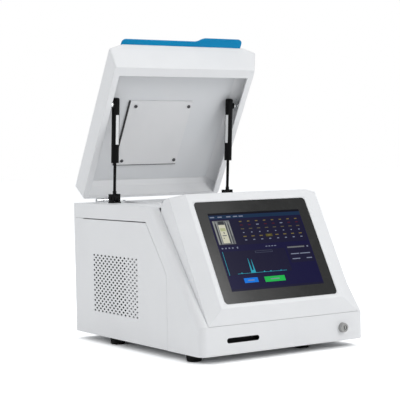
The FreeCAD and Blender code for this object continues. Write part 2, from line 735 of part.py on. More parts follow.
def add_screen_unit():
    facet_y, facet_z = "facet_low", "-facet_drop"
    wedge = prism("bezel_wedge", "YZ",
                  [(slope_y("facet_low", "-facet_drop"), slope_z("facet_low", "-facet_drop")),
                   (slope_y("facet_high", "-facet_drop"), slope_z("facet_high", "-facet_drop")),
                   ("unit_ridge_y", "unit_ridge_z"), ("unit_rear_y", "deck_height + 0.6"),
                   ("unit_rear_y", "deck_height - 18"), ("24", "lip_height + seam"),
                   ("12", "lip_height + seam")],
                  "-unit_half_width + seam", "unit_half_width - seam")
    facets = doc.addObject("Part::Loft", "bezel_facets")
    edge_x = "(unit_half_width - seam)"
    facets.Sections = [
        outline("facet_foot", "XY", rectangle(f"-{edge_x}", edge_x, facet_y, "facet_high"),
                facet_z),
        outline("facet_land", "XY", rectangle("-land_half_width", "land_half_width", "land_low",
                                              "land_high"), "0")]
    facets.Solid = True
    facets.Ruled = True
    glass_bed = block("glass_bed", ("-glass_width / 2", "glass_width / 2"),
                      ("0", "glass_height"), ("-glass_thickness - glass_sink", "overrun"))
    lcd_bed = block("lcd_bed", ("-lcd_width / 2 - seam", "lcd_width / 2 + seam"),
                    ("lcd_low - seam", "lcd_low + lcd_height + seam"),
                    ("-glass_thickness - glass_sink - lcd_thickness - 12", "overrun"))
    sloped_facets = placed("bezel_facets_sloped", facets, SLOPE)
    beds = [placed("glass_bed_sloped", glass_bed, SLOPE), placed("lcd_bed_sloped", lcd_bed, SLOPE)]
    chamber = prism("bezel_chamber", "YZ",
                    [("40", "lip_height - overrun"), ("40", "deck_height - 155"),
                     ("unit_rear_y - bezel_wall", "deck_height - 6"),
                     ("unit_rear_y - bezel_wall", "lip_height - overrun")],
                    "-lcd_width / 2", "lcd_width / 2")
    node("screen_bezel", cut("screen_bezel", fuse("bezel_blank", [wedge, sloped_facets]),
                             beds + [chamber]))

    glass = body("glass_body")
    pad(glass, "glass_sheet", "XY",
        rectangle("-glass_width / 2 + seam", "glass_width / 2 - seam", "seam",
                  "glass_height - seam"),
        "glass_thickness", offset="-glass_thickness - glass_sink")
    round_off(glass, "glass_corners", "glass_radius - seam", lambda edge, middle: upright(edge))
    node("touch_glass", glass, "slope")
    glass_back = "(-glass_thickness - glass_sink)"
    node("lcd_panel", block("lcd_panel", ("-lcd_width / 2", "lcd_width / 2"),
                            ("lcd_low", "lcd_low + lcd_height"),
                            (f"{glass_back} - lcd_thickness", glass_back)), "slope")
    tray = block("lcd_tray_blank", ("-lcd_width / 2", "lcd_width / 2"),
                 ("lcd_low", "lcd_low + lcd_height"),
                 (f"{glass_back} - lcd_thickness - 10", f"{glass_back} - lcd_thickness"))
    hollow = block("lcd_tray_hollow", ("-lcd_width / 2 + 12", "lcd_width / 2 - 12"),
                   ("lcd_low + 12", "lcd_low + lcd_height - 12"),
                   (f"{glass_back} - lcd_thickness - 8", f"{glass_back} - lcd_thickness + overrun"))
    node("lcd_frame", cut("lcd_frame", tray, [hollow]), "slope")


def slope_y(up, out):
    """The Y of a point given up the slope and out from it."""
    return f"slope_foot_y + ({up}) * cos(slope_angle) - ({out}) * sin(slope_angle)"


def slope_z(up, out):
    return f"slope_foot_z + ({up}) * sin(slope_angle) + ({out}) * cos(slope_angle)"


# Sample stage and what is under it

def add_stage():
    top = "(deck_height + stage_thickness)"
    plate = body("stage_body")
    pad(plate, "stage_sheet", "XY",
        rectangle("stage_x - stage_width / 2", "stage_x + stage_width / 2",
                  "stage_y - stage_depth / 2", "stage_y + stage_depth / 2"),
        "stage_thickness", offset="deck_height")
    round_off(plate, "stage_corners", "glass_radius", lambda edge, middle: upright(edge))
    centre_hole = rod("stage_centre_hole", "Z", "aperture_radius + bore_gap", "stage_x",
                      "stage_y", "deck_height - overrun", "stage_thickness + 2 * overrun")
    node("stage_plate", cut("stage_plate", plate, [centre_hole]))
    aperture = ring("aperture_ring", "Z", "aperture_radius", "window_radius + bore_gap",
                    "stage_x", "stage_y", "deck_height", "stage_thickness + aperture_height")
    node("aperture_ring", aperture)
    node("window_film", post("window_film", "Z", "window_radius", "stage_x", "stage_y",
                            f"{top} + aperture_height - 1", "0.4"))
    screws = [post(f"stage_screw_{index}", "Z", "3", f"stage_x + {x} * (stage_width / 2 - 10)",
                   f"stage_y + {y} * (stage_depth / 2 - 10)", top, "1.6", sides=6)
              for index, (x, y) in enumerate(((-1, -1), (1, -1), (1, 1), (-1, 1)))]
    node("stage_screws", group("stage_screws", screws))


def add_x_ray_unit():
    """The measuring head hangs under the stage on a bridge that stands on the pan."""
    floor = "pan_thickness"
    shelf = "170"
    bridge = [block("bridge_shel", ("stage_x - 75", "stage_x + 75"),
                    ("stage_y - 62", "stage_y + 62"), (shelf, f"{shelf} + 3"))]
    bridge += [block(f"bridge_{side}_leg", (f"stage_x + {low}", f"stage_x + {low + 3}"),
                     ("stage_y - 62", "stage_y + 62"), (floor, shelf))
               for side, low in (("left", -75), ("right", 72))]
    node("tube_bracket", fuse("tube_bracket", bridge))

    tube = [post("tube_can", "Z", "20", "stage_x", "stage_y - 28", f"{shelf} + 3", "38"),
            post("tube_neck", "Z", "9", "stage_x", "stage_y - 28", f"{shelf} + 41", "14")]
    node("xray_tube", fuse("xray_tube", tube))
    detector = [post("detector_can", "Z", "12", "stage_x + 34", "stage_y + 20", f"{shelf} + 3",
                    "44"),
                post("detector_snout", "Z", "6", "stage_x + 34", "stage_y + 20", f"{shelf} + 47",
                    "10")]
    node("detector", fuse("detector", detector))
    camera = [block("camera_box", ("stage_x - 52", "stage_x - 28"), ("stage_y + 8", "stage_y + 32"),
                    (f"{shelf} + 3", f"{shelf} + 33")),
              post("camera_lens", "Z", "7", "stage_x - 40", "stage_y + 20", f"{shelf} + 33", "16")]
    node("sample_camera", fuse("sample_camera", camera))
    lamp = [block("lamp_foot", ("stage_x - 8", "stage_x + 8"), ("stage_y + 34", "stage_y + 50"),
                  (f"{shelf} + 3", f"{shelf} + 8")),
            post("lamp_head", "Z", "5", "stage_x", "stage_y + 42", f"{shelf} + 8", "36")]
    node("stage_lamp", fuse("stage_lamp", lamp))

    # The collimator wheel turns over the tube's neck on a small motor.
    wheel_z = f"({shelf} + 59)"
    wheel_x, wheel_y = "stage_x - 34", "stage_y - 28"
    motor = [post("collimator_can", "Z", "11", wheel_x, wheel_y, f"{shelf} + 3", "42"),
             rod("collimator_shaft", "Z", "2", wheel_x, wheel_y, f"{shelf} + 45", "20")]
    node("collimator_motor", fuse("collimator_motor", motor))
    wheel = rod("wheel_disc", "Z", "44", wheel_x, wheel_y, wheel_z, "3")
    holes = [rod("wheel_bore", "Z", "2 + bore_gap", wheel_x, wheel_y, f"{wheel_z} - overrun", "15"),
             post("wheel_aperture", "Z", "3", f"{wheel_x} + 34", wheel_y, f"{wheel_z} - overrun",
                  "15", sides=6)]
    node("collimator_wheel", cut("collimator_wheel", wheel, holes))


def add_electronics():
    floor = "pan_thickness"
    left = "-panel_inner_x + 29"
    node("hv_generator", fuse("hv_generator", [
        block("hv_box", (left, f"{left} + 50"), ("housing_depth - 208", "housing_depth - 58"),
              (floor, "115")),
        post("hv_socket", "Z", "9", f"{left} + 25", "housing_depth - 158", "115", "18")]))
    right = "panel_inner_x - 26"
    supply = block("supply_box", (f"{right} - 98", right),
                   ("housing_depth - 218", "housing_depth - 58"), (floor, "42"))
    slots = [block(f"supply_slot_{index}", (f"{right} - {82 - 12 * index}",
                                            f"{right} - {78 - 12 * index}"),
                   ("housing_depth - 198", "housing_depth - 78"), ("40", "50"))
             for index in range(6)]
    node("power_supply", cut("power_supply", supply, slots))
    corners = [(x, y) for x in (-80, 80) for y in (70, 190)]
    posts = [post(f"standoff_{index}", "Z", "4", x, y, floor, "12", sides=6)
             for index, (x, y) in enumerate(corners)]
    node("board_standoffs", group("board_standoffs", posts))
    board_z = f"({floor} + 12)"
    board = [block("board_sheet", ("-95", "95"), ("55", "205"), (board_z, f"{board_z} + 1.6")),
             block("board_heatsink", ("-25", "25"), ("110", "160"),
                   (f"{board_z} + 1.6", f"{board_z} + 16")),
             block("board_memory", ("45", "52"), ("80", "180"),
                   (f"{board_z} + 1.6", f"{board_z} + 28")),
             block("board_header", ("-85", "-75"), ("80", "160"),
                   (f"{board_z} + 1.6", f"{board_z} + 10"))]
    node("mainboard", fuse("mainboard", board))


def add_interlock():
    """A switch under the deck, pressed by the rim of the closed lid."""
    case = block("interlock_case", ("plunger_x - 9", "plunger_x + 9"),
                 ("plunger_y - 14", "plunger_y + 14"), ("deck_underside - 22", "deck_underside"))
    bore = rod("interlock_bore", "Z", "plunger_radius + bore_gap", "plunger_x", "plunger_y",
               "deck_underside - 16", "overrun + 16")
    node("interlock_body", cut("interlock_body", case, [bore]))
    node("interlock_plunger", rod("interlock_plunger", "Z", "plunger_radius", "plunger_x",
                                  "plunger_y", "deck_underside - 12",
                                  "rim_z - gap - (deck_underside - 12)"))


# Lid

def add_lid():
    rim, waist, roof = "rim_z", "waist_z", "roof_z"
    lid = body("lid_body")
    pad(lid, "lid_side_view", "YZ",
        [("lid_rim_front_y", rim), ("lid_waist_front_y", waist), ("lid_roof_front_y", roof),
         ("lid_roof_rear_y", roof), ("lid_waist_rear_y", waist), ("lid_rim_rear_y", rim)],
        "2 * lid_waist_half_width", both_ways=True)
    for side, sign in (("left", "-1"), ("right", "1")):
        outside = f"{sign} * (lid_waist_half_width + overrun)"
        pocket(lid, f"lid_{side}_flank", "XZ",
               [(f"{sign} * lid_rim_half_width", f"{rim} - overrun"),
                (f"{sign} * lid_rim_half_width", rim),
                (f"{sign} * lid_waist_half_width", waist),
                (f"{sign} * lid_roof_half_width", roof),
                (f"{sign} * lid_roof_half_width", f"{roof} + overrun"),
                (outside, f"{roof} + overrun"), (outside, f"{rim} - overrun")],
               "4 * housing_depth")
    round_off(lid, "lid_corners", "lid_corner_radius",
              lambda edge, middle: leans(edge) and middle.z < size("waist_z"))

    # The hollow follows the walls, and a narrower mouth leaves flanges at the front and sides.
    inner_waist = f"({waist} - 0.75 * lid_wall)"
    inner_roof = f"({roof} - lid_wall)"
    flange_top = f"({rim} + lid_wall)"
    side_view = prism("lid_hollow_side_view", "YZ",
                      [("lid_rim_front_y + 0.4 * lid_wall", flange_top),
                       ("lid_waist_front_y + 2.35 * lid_wall", inner_waist),
                       ("lid_roof_front_y + 2.6 * lid_wall", inner_roof),
                       ("lid_roof_rear_y - 0.3 * lid_wall", inner_roof),
                       ("lid_waist_rear_y - 0.75 * lid_wall", inner_waist),
                       ("lid_rim_rear_y - 1.6 * lid_wall", flange_top)],
                      "-lid_waist_half_width", "lid_waist_half_width")
    flank_low = "(lid_rim_half_width - 0.7 * lid_wall)"
    flank_wide = "(lid_waist_half_width - 1.33 * lid_wall)"
    flank_top = "(lid_roof_half_width - 0.33 * lid_wall)"
    front_view = prism("lid_hollow_front_view", "XZ",
                       [(f"-{flank_low}", flange_top), (f"-{flank_wide}", inner_waist),
                        (f"-{flank_top}", inner_roof), (flank_top, inner_roof),
                        (flank_wide, inner_waist), (flank_low, flange_top)],
                       "0", "housing_depth")
    hollow = doc.addObject("Part::Common", "lid_hollow")
    hollow.Base = side_view
    hollow.Tool = front_view
    mouth_x = "(lid_rim_half_width - lid_side_flange)"
    mouth = block("lid_mouth", (f"-{mouth_x}", mouth_x),
                  ("lid_rim_front_y + lid_front_flange", "lid_rim_rear_y - 1.6 * lid_wall"),
                  (f"{rim} - overrun", f"{flange_top} + 1"))
    node("lid_shell", cut("lid_shell", lid, [fuse("lid_inside", [hollow, mouth])]), "lid")

    liner = block("lid_liner", ("-lid_roof_half_width + 1.5", "lid_roof_half_width - 1.5"),
                  ("lid_roof_front_y + 11", "lid_roof_rear_y - 4"),
                  (f"{inner_roof} - liner_thickness", inner_roof))
    node("lid_liner", liner, "lid")
    plate_top = f"({inner_roof} - liner_thickness)"
    plate_bottom = f"({plate_top} - shield_thickness)"
    shield = block("shield_plate", ("shield_left_x", "shield_right_x"),
                   ("shield_front_y", "shield_rear_y"), (plate_bottom, plate_top))
    node("shield_plate", shield, "lid")
    screws = []
    for index, (x, y) in enumerate((("shield_left_x + 14", "shield_front_y + 12"),
                                    ("shield_right_x - 7", "shield_front_y + 12"),
                                    ("shield_right_x - 7", "shield_rear_y - 9.4"),
                                    ("shield_left_x + 14", "shield_rear_y - 9.4"))):
        screws.append(post(f"shield_screw_{index}", "Z", "4", x, y, f"{plate_bottom} - 2.2", "2.2",
                           sides=6))
    node("shield_screws", group("shield_screws", screws), "lid")

    grip = body("grip_body")
    pad(grip, "grip_sheet", "XY",
        [("grip_left_x", "grip_rear_y"), ("grip_left_x", "grip_front_y"),
         ("grip_step_start_x", "grip_front_y"), ("grip_step_end_x", "grip_step_y"),
         ("grip_right_x", "grip_step_y"), ("grip_right_x", "grip_rear_y")],
        "grip_thickness", offset=roof)
    round_off(grip, "grip_corners", "grip_corner_radius",
              lambda edge, middle: upright(edge) and middle.y < size("grip_front_y") + 1
              and (middle.x < size("grip_step_start_x") - 1 or middle.x > size("grip_step_end_x")))
    round_off(grip, "grip_step_bends", "2.5 * grip_corner_radius",
              lambda edge, middle: upright(edge)
              and size("grip_step_start_x") - 1 < middle.x < size("grip_step_end_x") + 1)
    node("grip_plate", grip, "lid")


HINGES = (("left", "-hinge_inner_x - 3 * knuckle_length"), ("right", "hinge_inner_x"))


def knuckle(name, start, length):
    return rod(name, "X", "barrel_radius", start, "hinge_y", "hinge_z", length)


def add_hinges():
    length = "(knuckle_length - gap)"
    base_leaves = []
    lid_leaves = []
    pins = []
    for side, start in HINGES:
        end = f"{start} + 3 * knuckle_length"
        middle = f"{start} + knuckle_length"
        far = f"{start} + 2 * knuckle_length"
        plate = block(f"{side}_base_lea", (start, end),
                      ("housing_depth", "housing_depth + hinge_lea"),
                      ("deck_height - hinge_leaf_drop", "hinge_z - barrel_radius - 1"))
        tabs = [block(f"{side}_base_tab_{index}", (low, f"{low} + {length}"),
                      ("housing_depth + 0.2", "hinge_y"),
                      ("hinge_z - barrel_radius - 2", "hinge_z"))
                for index, low in enumerate((start, f"{far} + gap"))]
        knuckles = [knuckle(f"{side}_base_knuckle_{index}", low, length)
                    for index, low in enumerate((start, f"{far} + gap"))]
        bore = rod(f"{side}_base_bore", "X", "hinge_pin_radius + bore_gap", f"{start} - overrun",
                   "hinge_y", "hinge_z", "3 * knuckle_length + 2 * overrun")
        base_leaves.append(cut(f"{side}_base_hinge",
                               fuse(f"{side}_base_hinge_blank", [plate] + tabs + knuckles),
                               [bore]))
        pins.append(rod(f"{side}_hinge_pin", "X", "hinge_pin_radius", f"{start} - 1", "hinge_y",
                        "hinge_z", "3 * knuckle_length + 2"))
        # The lid's leaf lies on the leaning rear wall and reaches back to its knuckle.
        lean = "((lid_rim_rear_y - lid_waist_rear_y) / lid_waist_height)"

        def wall_y(height, out=0):
            return f"lid_rim_rear_y - {lean} * {height} + {out}"

        leaf = prism(f"{side}_lid_lea", "YZ",
                     [(wall_y(8), "rim_z + 8"), (wall_y(8, 2.7), "rim_z + 8"),
                      (wall_y(23, 2.7), "rim_z + 23"), (wall_y(23), "rim_z + 23")],
                     start, end)
        arm = prism(f"{side}_lid_arm", "YZ",
                    [(wall_y(1), "rim_z + 1"), ("hinge_y - 2", "rim_z + 1"),
                     ("hinge_y", "hinge_z + barrel_radius"),
                     (wall_y(9, 2.7), "rim_z + 9"), (wall_y(9), "rim_z + 9")],
                    f"{middle} + gap", f"{middle} + {length}")
        lid_knuckle = knuckle(f"{side}_lid_knuckle", f"{middle} + gap", f"{length} - gap")
        lid_bore = rod(f"{side}_lid_bore", "X", "hinge_pin_radius + bore_gap",
                       f"{middle} - overrun", "hinge_y", "hinge_z", "knuckle_length + 2 * overrun")
        lid_leaves.append(cut(f"{side}_lid_hinge",
                              fuse(f"{side}_lid_hinge_blank", [leaf, arm, lid_knuckle]),
                              [lid_bore]))
    node("base_hinge_leaves", group("base_hinge_leaves", base_leaves))
    node("hinge_pins", group("hinge_pins", pins))
    node("lid_hinge_leaves", group("lid_hinge_leaves", lid_leaves), "lid")


# Struts, drawn standing on the origin of their own frame

def add_struts():
    gland = "6"
    tube_end = "strut_tube_start + strut_tube_length"
    for side in ("left", "right"):
        eye_start = "-strut_eye_width / 2"
        eye = rod(f"{side}_eye", "X", "strut_eye_radius", eye_start, "0", "0", "strut_eye_width")
        neck = post(f"{side}_eye_neck", "Z", "strut_eye_width / 2 - 0.1", "0", "0", "4",
                    "strut_rod_start - 4", sides=8)
        bore = rod(f"{side}_eye_bore", "X", "strut_pin_radius + bore_gap",
                   f"{eye_start} - overrun", "0", "0", "strut_eye_width + 2 * overrun")
        node(f"{side}_rod_fitting", cut(f"{side}_rod_fitting",
                                        fuse(f"{side}_eye_blank", [eye, neck]), [bore]),
             f"{side}_strut")
        shaft = rod(f"{side}_shaft", "Z", "strut_rod_radius", "0", "0", "strut_rod_start",
                    "strut_rod_end - strut_rod_start")
        piston = post(f"{side}_piston", "Z", "strut_tube_radius - strut_tube_wall - gap", "0", "0",
                     f"strut_rod_end - {gland}", gland)
        node(f"{side}_strut_rod", fuse(f"{side}_strut_rod", [shaft, piston]), f"{side}_strut")

        shell = rod(f"{side}_tube_blank", "Z", "strut_tube_radius", "0", "0", "strut_tube_start",
                    "strut_tube_length")
        chamber = rod(f"{side}_tube_chamber", "Z", "strut_tube_radius - strut_tube_wall", "0",
                      "0", f"strut_tube_start + {gland}", f"strut_tube_length - {gland} - 3")
        rod_hole = rod(f"{side}_tube_hole", "Z", "strut_rod_radius + bore_gap", "0", "0",
                       "strut_tube_start - overrun", f"{gland} + 2 * overrun")
        node(f"{side}_strut_tube", cut(f"{side}_strut_tube", shell,
                                       [fuse(f"{side}_tube_hollow", [chamber, rod_hole])]),
             f"{side}_strut")
        head = rod(f"{side}_head_blank", "Z", "strut_head_radius", "0", "0", tube_end,
                   "2 * strut_head_reach + 1")
        flat_x = ("-10 * overrun" if side == "left" else "strut_head_radius - 0.8")
        flat_end = ("0.8 - strut_head_radius" if side == "left" else "10 * overrun")
        flat = block(f"{side}_head_flat", (flat_x, flat_end), ("-20", "20"),
                     (f"{tube_end} - overrun", f"{tube_end} + 40"))
        node(f"{side}_tube_fitting", cut(f"{side}_tube_fitting", head, [flat]), f"{side}_strut")


def add_strut_brackets():
    ears = []
    studs = []
    half = "(strut_eye_width / 2 + gap)"
    outer = f"({half} + strut_ear_width)"
    for side, sign in (("left", -1), ("right", 1)):
        centre = f"{sign} * strut_x"
        foot = block(f"{side}_bracket_foot", (f"{centre} - {outer}", f"{centre} + {outer}"),
                     ("strut_foot_y - 8.5", "strut_foot_y + 8.5"),
                     ("deck_height", "deck_height + 2"))
        pieces = [foot]
        for place, low in (("inner", f"{centre} - {outer}"), ("outer", f"{centre} + {half}")):
            pieces.append(block(f"{side}_{place}_ear", (low, f"{low} + strut_ear_width"),
                                ("strut_foot_y - 6.5", "strut_foot_y + 6.5"),
                                ("deck_height", "strut_foot_z + 8")))
        pieces.append(rod(f"{side}_bracket_pin", "X", "strut_pin_radius", f"{centre} - {outer}",
                          "strut_foot_y", "strut_foot_z", f"2 * {outer}"))
        head_x = f"{centre} + {outer}" if sign > 0 else f"{centre} - {outer} - 1.5"
        pieces.append(post(f"{side}_pin_head", "X", "5", head_x, "strut_foot_y", "strut_foot_z",
                           "1.5"))
        ears.append(fuse(f"{side}_lower_bracket", pieces))

        # In the lid a plate on the rim's flange carries the stud that the strut's head faces.
        face = "(strut_x + strut_head_radius - 0.8 + strut_stud_gap)"
        plate_x = "(lid_rim_half_width - lid_side_flange + 3)"
        spans = {"plate": (plate_x, f"{plate_x} + 3"), "stud": (face, plate_x),
                 "nut": (f"{plate_x} + 3", f"{plate_x} + 6")}
        if sign < 0:
            spans = {key: (f"-{high}" if key == "stud" else f"-({high})", f"-({low})")
                     for key, (low, high) in spans.items()}
        low, high = spans["plate"]
        plate = block(f"{side}_stud_plate", (low, high),
                      ("strut_head_y - 12", "strut_head_y + 12"),
                      ("rim_z + lid_wall", "strut_head_z + 8"))
        low, high = spans["stud"]
        stud = rod(f"{side}_stud", "X", "4", low, "strut_head_y", "strut_head_z",
                   f"({high}) - ({low})")
        collar_x = f"{sign} * ({face} + 3.5) - 2"
        collar = post(f"{side}_stud_collar", "X", "6.5", collar_x, "strut_head_y", "strut_head_z",
                      "4")
        low, high = spans["nut"]
        nut = post(f"{side}_stud_nut", "X", "6.5", low, "strut_head_y", "strut_head_z",
                   f"({high}) - ({low})", sides=6)
        studs.append(fuse(f"{side}_upper_bracket", [plate, stud, collar, nut]))
    node("lower_strut_brackets", group("lower_strut_brackets", ears))
    node("upper_strut_brackets", group("upper_strut_brackets", studs), "lid")


add_housing()
add_pan()
add_panels()
add_rear()
add_fan()
add_key_switch()
add_screen_unit()
add_stage()
add_x_ray_unit()
add_electronics()
add_interlock()
add_lid()
add_hinges()
add_struts()
add_strut_brackets()
doc.recompute()


# Frames that carry the nodes

def about(point, angle):
    """A turn about an axis along X through the point."""
    turn = Rotation(Vector(1, 0, 0), angle)
    return Placement(point - turn.multVec(point), turn)


LID_OPEN = about(Vector(0, size("hinge_y"), size("hinge_z")), -size("open_angle"))
STRUT_HEAD = Vector(0, size("strut_head_y"), size("strut_head_z"))
STRUT_FOOT = Vector(0, size("strut_foot_y"), size("strut_foot_z"))


def strut_frame(sign):
    """The strut's foot at the bracket and its length pointing at the open lid's stud."""
    along = LID_OPEN.multVec(STRUT_HEAD) - STRUT_FOOT
    lean = math.degrees(math.atan2(-along.y, along.z))
    return Placement(STRUT_FOOT + Vector(sign * size("strut_x"), 0, 0),
                     Rotation(Vector(1, 0, 0), lean))


CARRIERS = {"base": Placement(), "slope": SLOPE, "lid": LID_OPEN,
            "left_strut": strut_frame(-1), "right_strut": strut_frame(1)}


def place_all(shift):
    base = Placement(shift, Rotation())
    for item, carrier in NODES:
        item.Placement = base.multiply(CARRIERS[carrier])
    doc.recompute()


def extent():
    box = FreeCAD.BoundBox()
    for item, _ in NODES:
        box.add(item.Shape.optimalBoundingBox(False, False))
    return box


def check(item):
    """Stops on a failed feature or a shape that isn't a sound solid."""
    broken = [part.Label for part in doc.Objects if "Invalid" in part.State or "Error" in part.State]
    if broken:
        raise RuntimeError(f"features in error: {broken}")
    if item.Shape.isNull() or not item.Shape.Solids or not item.Shape.isValid():
        raise RuntimeError(f"{item.Label} has no sound solid")


place_all(Vector())
for item, _ in NODES:
    check(item)
footprint = extent()
shift = Vector(0, -(footprint.YMin + footprint.YMax) / 2, size("foot_height"))
place_all(shift)

os.makedirs("parts", exist_ok=True)
for item, _ in NODES:
    item.Shape.exportStep(f"parts/{item.Label}.step")

whole = extent()
print(f"{len(NODES)} parts, {whole.XLength:.1f} x {whole.YLength:.1f} x {whole.ZLength:.1f} mm")
print(f"moved by y {shift.y:.3f}, z {shift.z:.3f}; lowest point z {whole.ZMin:.3f}")
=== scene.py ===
"""Finishes, screen picture and small fittings of the x-ray fluorescence gold analyzer.

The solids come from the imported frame. This script finishes them, adds the pieces that are
too fine for a solid, and sets the studio. Every length is in metres.
"""

import json
import math

import bmesh
import bpy
from bpy.props import (BoolProperty, FloatProperty, FloatVectorProperty, IntProperty,
                       PointerProperty)
from mathutils import Matrix, Vector

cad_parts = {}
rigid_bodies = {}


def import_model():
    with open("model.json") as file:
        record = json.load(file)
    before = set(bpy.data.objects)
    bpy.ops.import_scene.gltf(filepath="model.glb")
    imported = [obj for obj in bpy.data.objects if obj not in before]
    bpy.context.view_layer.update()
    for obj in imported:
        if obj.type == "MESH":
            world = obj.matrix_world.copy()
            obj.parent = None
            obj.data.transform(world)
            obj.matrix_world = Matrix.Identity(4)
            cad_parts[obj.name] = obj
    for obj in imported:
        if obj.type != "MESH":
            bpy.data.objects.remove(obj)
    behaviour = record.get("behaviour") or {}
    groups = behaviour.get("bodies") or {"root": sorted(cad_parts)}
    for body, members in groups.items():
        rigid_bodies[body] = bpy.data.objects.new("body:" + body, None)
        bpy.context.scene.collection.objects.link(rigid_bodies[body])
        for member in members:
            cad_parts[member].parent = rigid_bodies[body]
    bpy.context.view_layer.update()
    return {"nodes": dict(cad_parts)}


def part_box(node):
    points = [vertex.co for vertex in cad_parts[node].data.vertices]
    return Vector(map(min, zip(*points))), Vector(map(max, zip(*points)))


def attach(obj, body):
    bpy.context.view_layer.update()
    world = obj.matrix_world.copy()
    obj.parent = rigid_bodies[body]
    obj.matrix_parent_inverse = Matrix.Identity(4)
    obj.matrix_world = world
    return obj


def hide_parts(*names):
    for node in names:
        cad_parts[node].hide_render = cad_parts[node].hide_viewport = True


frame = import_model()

bl_info = {
    "name": "Gold analyzer dressing",
    "version": (1, 0, 0),
    "blender": (4, 5, 0),
    "location": "3D View > Sidebar > Analyzer",
    "description": "Finishes and small fittings of a benchtop x-ray fluorescence analyzer",
    "category": "Object",
}

# Where the screen unit's sloping face starts, and how far it leans from the bench.
SLOPE_ORIGIN = Vector((0.0, -0.225841, 0.102))
SLOPE_LEAN = math.radians(61.4)

# The lid and the struts as the frame holds them, with the lid open.
LID_OPEN = math.radians(60.57)
STRUT_FOOT = Vector((0.138, 0.145159, 0.2855))
STRUT_HEAD = Vector((0.138, 0.132068, 0.470954))
STRUT_WAY = (STRUT_HEAD - STRUT_FOOT).normalized()
STRUT_LEAN = math.atan2(-STRUT_WAY.y, STRUT_WAY.z)


def colour(name, text, value):
    """A colour setting that the panel shows."""
    return FloatVectorProperty(name=name, description=text, subtype="COLOR", size=3,
                               min=0.0, max=1.0, default=value)


def length(name, text, value):
    """A length setting in metres that the panel shows."""
    return FloatProperty(name=name, description=text, default=value, min=0.0,
                         precision=5, unit="LENGTH", subtype="DISTANCE")


class AnalyzerFinishes(bpy.types.PropertyGroup):
    """Colours of the analyzer's finishes."""

    paint: colour("Paint", "Powder coat of the housing and the lid", (0.875, 0.88, 0.89))
    paint_shade: colour("Paint shade", "Slightly duller patches of the paint",
                        (0.85, 0.855, 0.865))
    liner: colour("Liner", "Coated plate inside the lid", (0.75, 0.76, 0.775))
    shield: colour("Shield", "Shield plate inside the lid", (0.79, 0.79, 0.80))
    grip: colour("Grip", "Clear blue sheet of the grip", (0.0, 0.235, 0.50))
    grip_glow: colour("Grip light", "Lighter blue where the grip gathers light",
                      (0.0, 0.29, 0.58))
    border: colour("Glass border", "Print behind the border of the touch glass",
                   (0.013, 0.013, 0.0125))
    backlight: colour("Backlight", "Dark blue of the lit screen", (0.005, 0.004, 0.032))
    strut: colour("Strut", "Black coat of the gas struts", (0.003, 0.003, 0.0035))
    plastic: colour("Black plastic", "Moulded black plastic", (0.006, 0.006, 0.0065))
    rubber: colour("Rubber", "Rubber of the feet", (0.012, 0.012, 0.012))


class AnalyzerSizes(bpy.types.PropertyGroup):
    """Sizes of the small fittings."""

    label_share: FloatProperty(
        name="Label length", description="Part of a strut's tube that its label covers",
        default=0.58, min=0.1, max=0.95, subtype="FACTOR")
    label_turn: FloatProperty(
        name="Label turn", description="How far round the tube the label reaches",
        default=math.radians(52), min=0.2, max=6.0, unit="ROTATION", subtype="ANGLE")
    screw_head: length("Screw head", "Radius of a screw's head", 0.0036)
    # The filter behind the vents is near-black so that the holes show dark: painted shade of the
    # housing's inside.
    shade_filter_depth: length("Shade filter depth", "Thickness of the dust filter behind the vents", 0.0030)
    glass_corner: length("Glass corner", "Radius of the rim's corners round the glass", 0.0075)
    # Width of the dark strip beside the shield plate, which is painted shadow of the gap under the
    # plate.
    shadow_strip_width: length("Shadow strip width", "How far the seal shows beside the shield plate", 0.0030)
    grip_slope: length("Grip slope", "Width of the slope between the grip's two edges", 0.015)
    guard_wire: length("Guard wire", "Thickness of the fan guard's wire", 0.0016)
    guard_rings: IntProperty(name="Guard rings", description="Number of wire rings over the fan",
                             default=4, min=2, max=8)
    lit: BoolProperty(name="Lit screen", description="Light the picture on the screen",
                      default=True)


class Board:
    """Places and joins the nodes of one tree, left to right."""

    def __init__(self, tree, place="Object"):
        self.tree = tree
        self.column = 0
        if place:
            self.place = self.add("ShaderNodeTexCoord").outputs[place]

    def add(self, kind, sockets=None, **settings):
        """Adds a node, with its settings and what feeds its sockets."""
        node = self.tree.nodes.new(kind)
        node.location = (self.column * 190 - 1400, 0)
        self.column += 1
        for name, value in settings.items():
            setattr(node, name, value)
        for name, value in (sockets or {}).items():
            if isinstance(value, bpy.types.NodeSocket):
                self.tree.links.new(value, node.inputs[name])
            else:
                node.inputs[name].default_value = value
        return node

    def noise(self, scale, detail, **sockets):
        """Noise over the piece's own coordinates."""
        given = {"Vector": self.place, "Scale": scale, "Detail": detail, **sockets}
        return self.add("ShaderNodeTexNoise", given).outputs["Fac"]

    def cells(self, scale, feature="F1", **sockets):
        """Distance from the nearest one of many points strewn over the piece."""
        given = {"Vector": self.place, "Scale": scale, **sockets}
        return self.add("ShaderNodeTexVoronoi", given, feature=feature).outputs["Distance"]

    def ramp(self, value, low, high):
        given = {"Value": value, "From Min": low, "From Max": high}
        return self.add("ShaderNodeMapRange", given).outputs["Result"]

    def mix(self, share, low, high):
        given = {0: share, 6: low, 7: high}
        return self.add("ShaderNodeMix", given, data_type="RGBA").outputs[2]

    def times(self, first, second):
        given = {0: first, 1: second}
        return self.add("ShaderNodeMath", given, operation="MULTIPLY").outputs[0]

    def plus(self, first, second, clamp=False):
        given = {0: first, 1: second}
        return self.add("ShaderNodeMath", given, operation="ADD", use_clamp=clamp).outputs[0]

    def relief(self, strength, distance, height, edge):
        """A bump over edges that are softened by a radius."""
        edges = self.add("ShaderNodeBevel", {"Radius": edge}, samples=4)
        given = {"Strength": strength, "Distance": distance, "Height": height,
                 "Normal": edges.outputs["Normal"]}
        return self.add("ShaderNodeBump", given).outputs["Normal"]


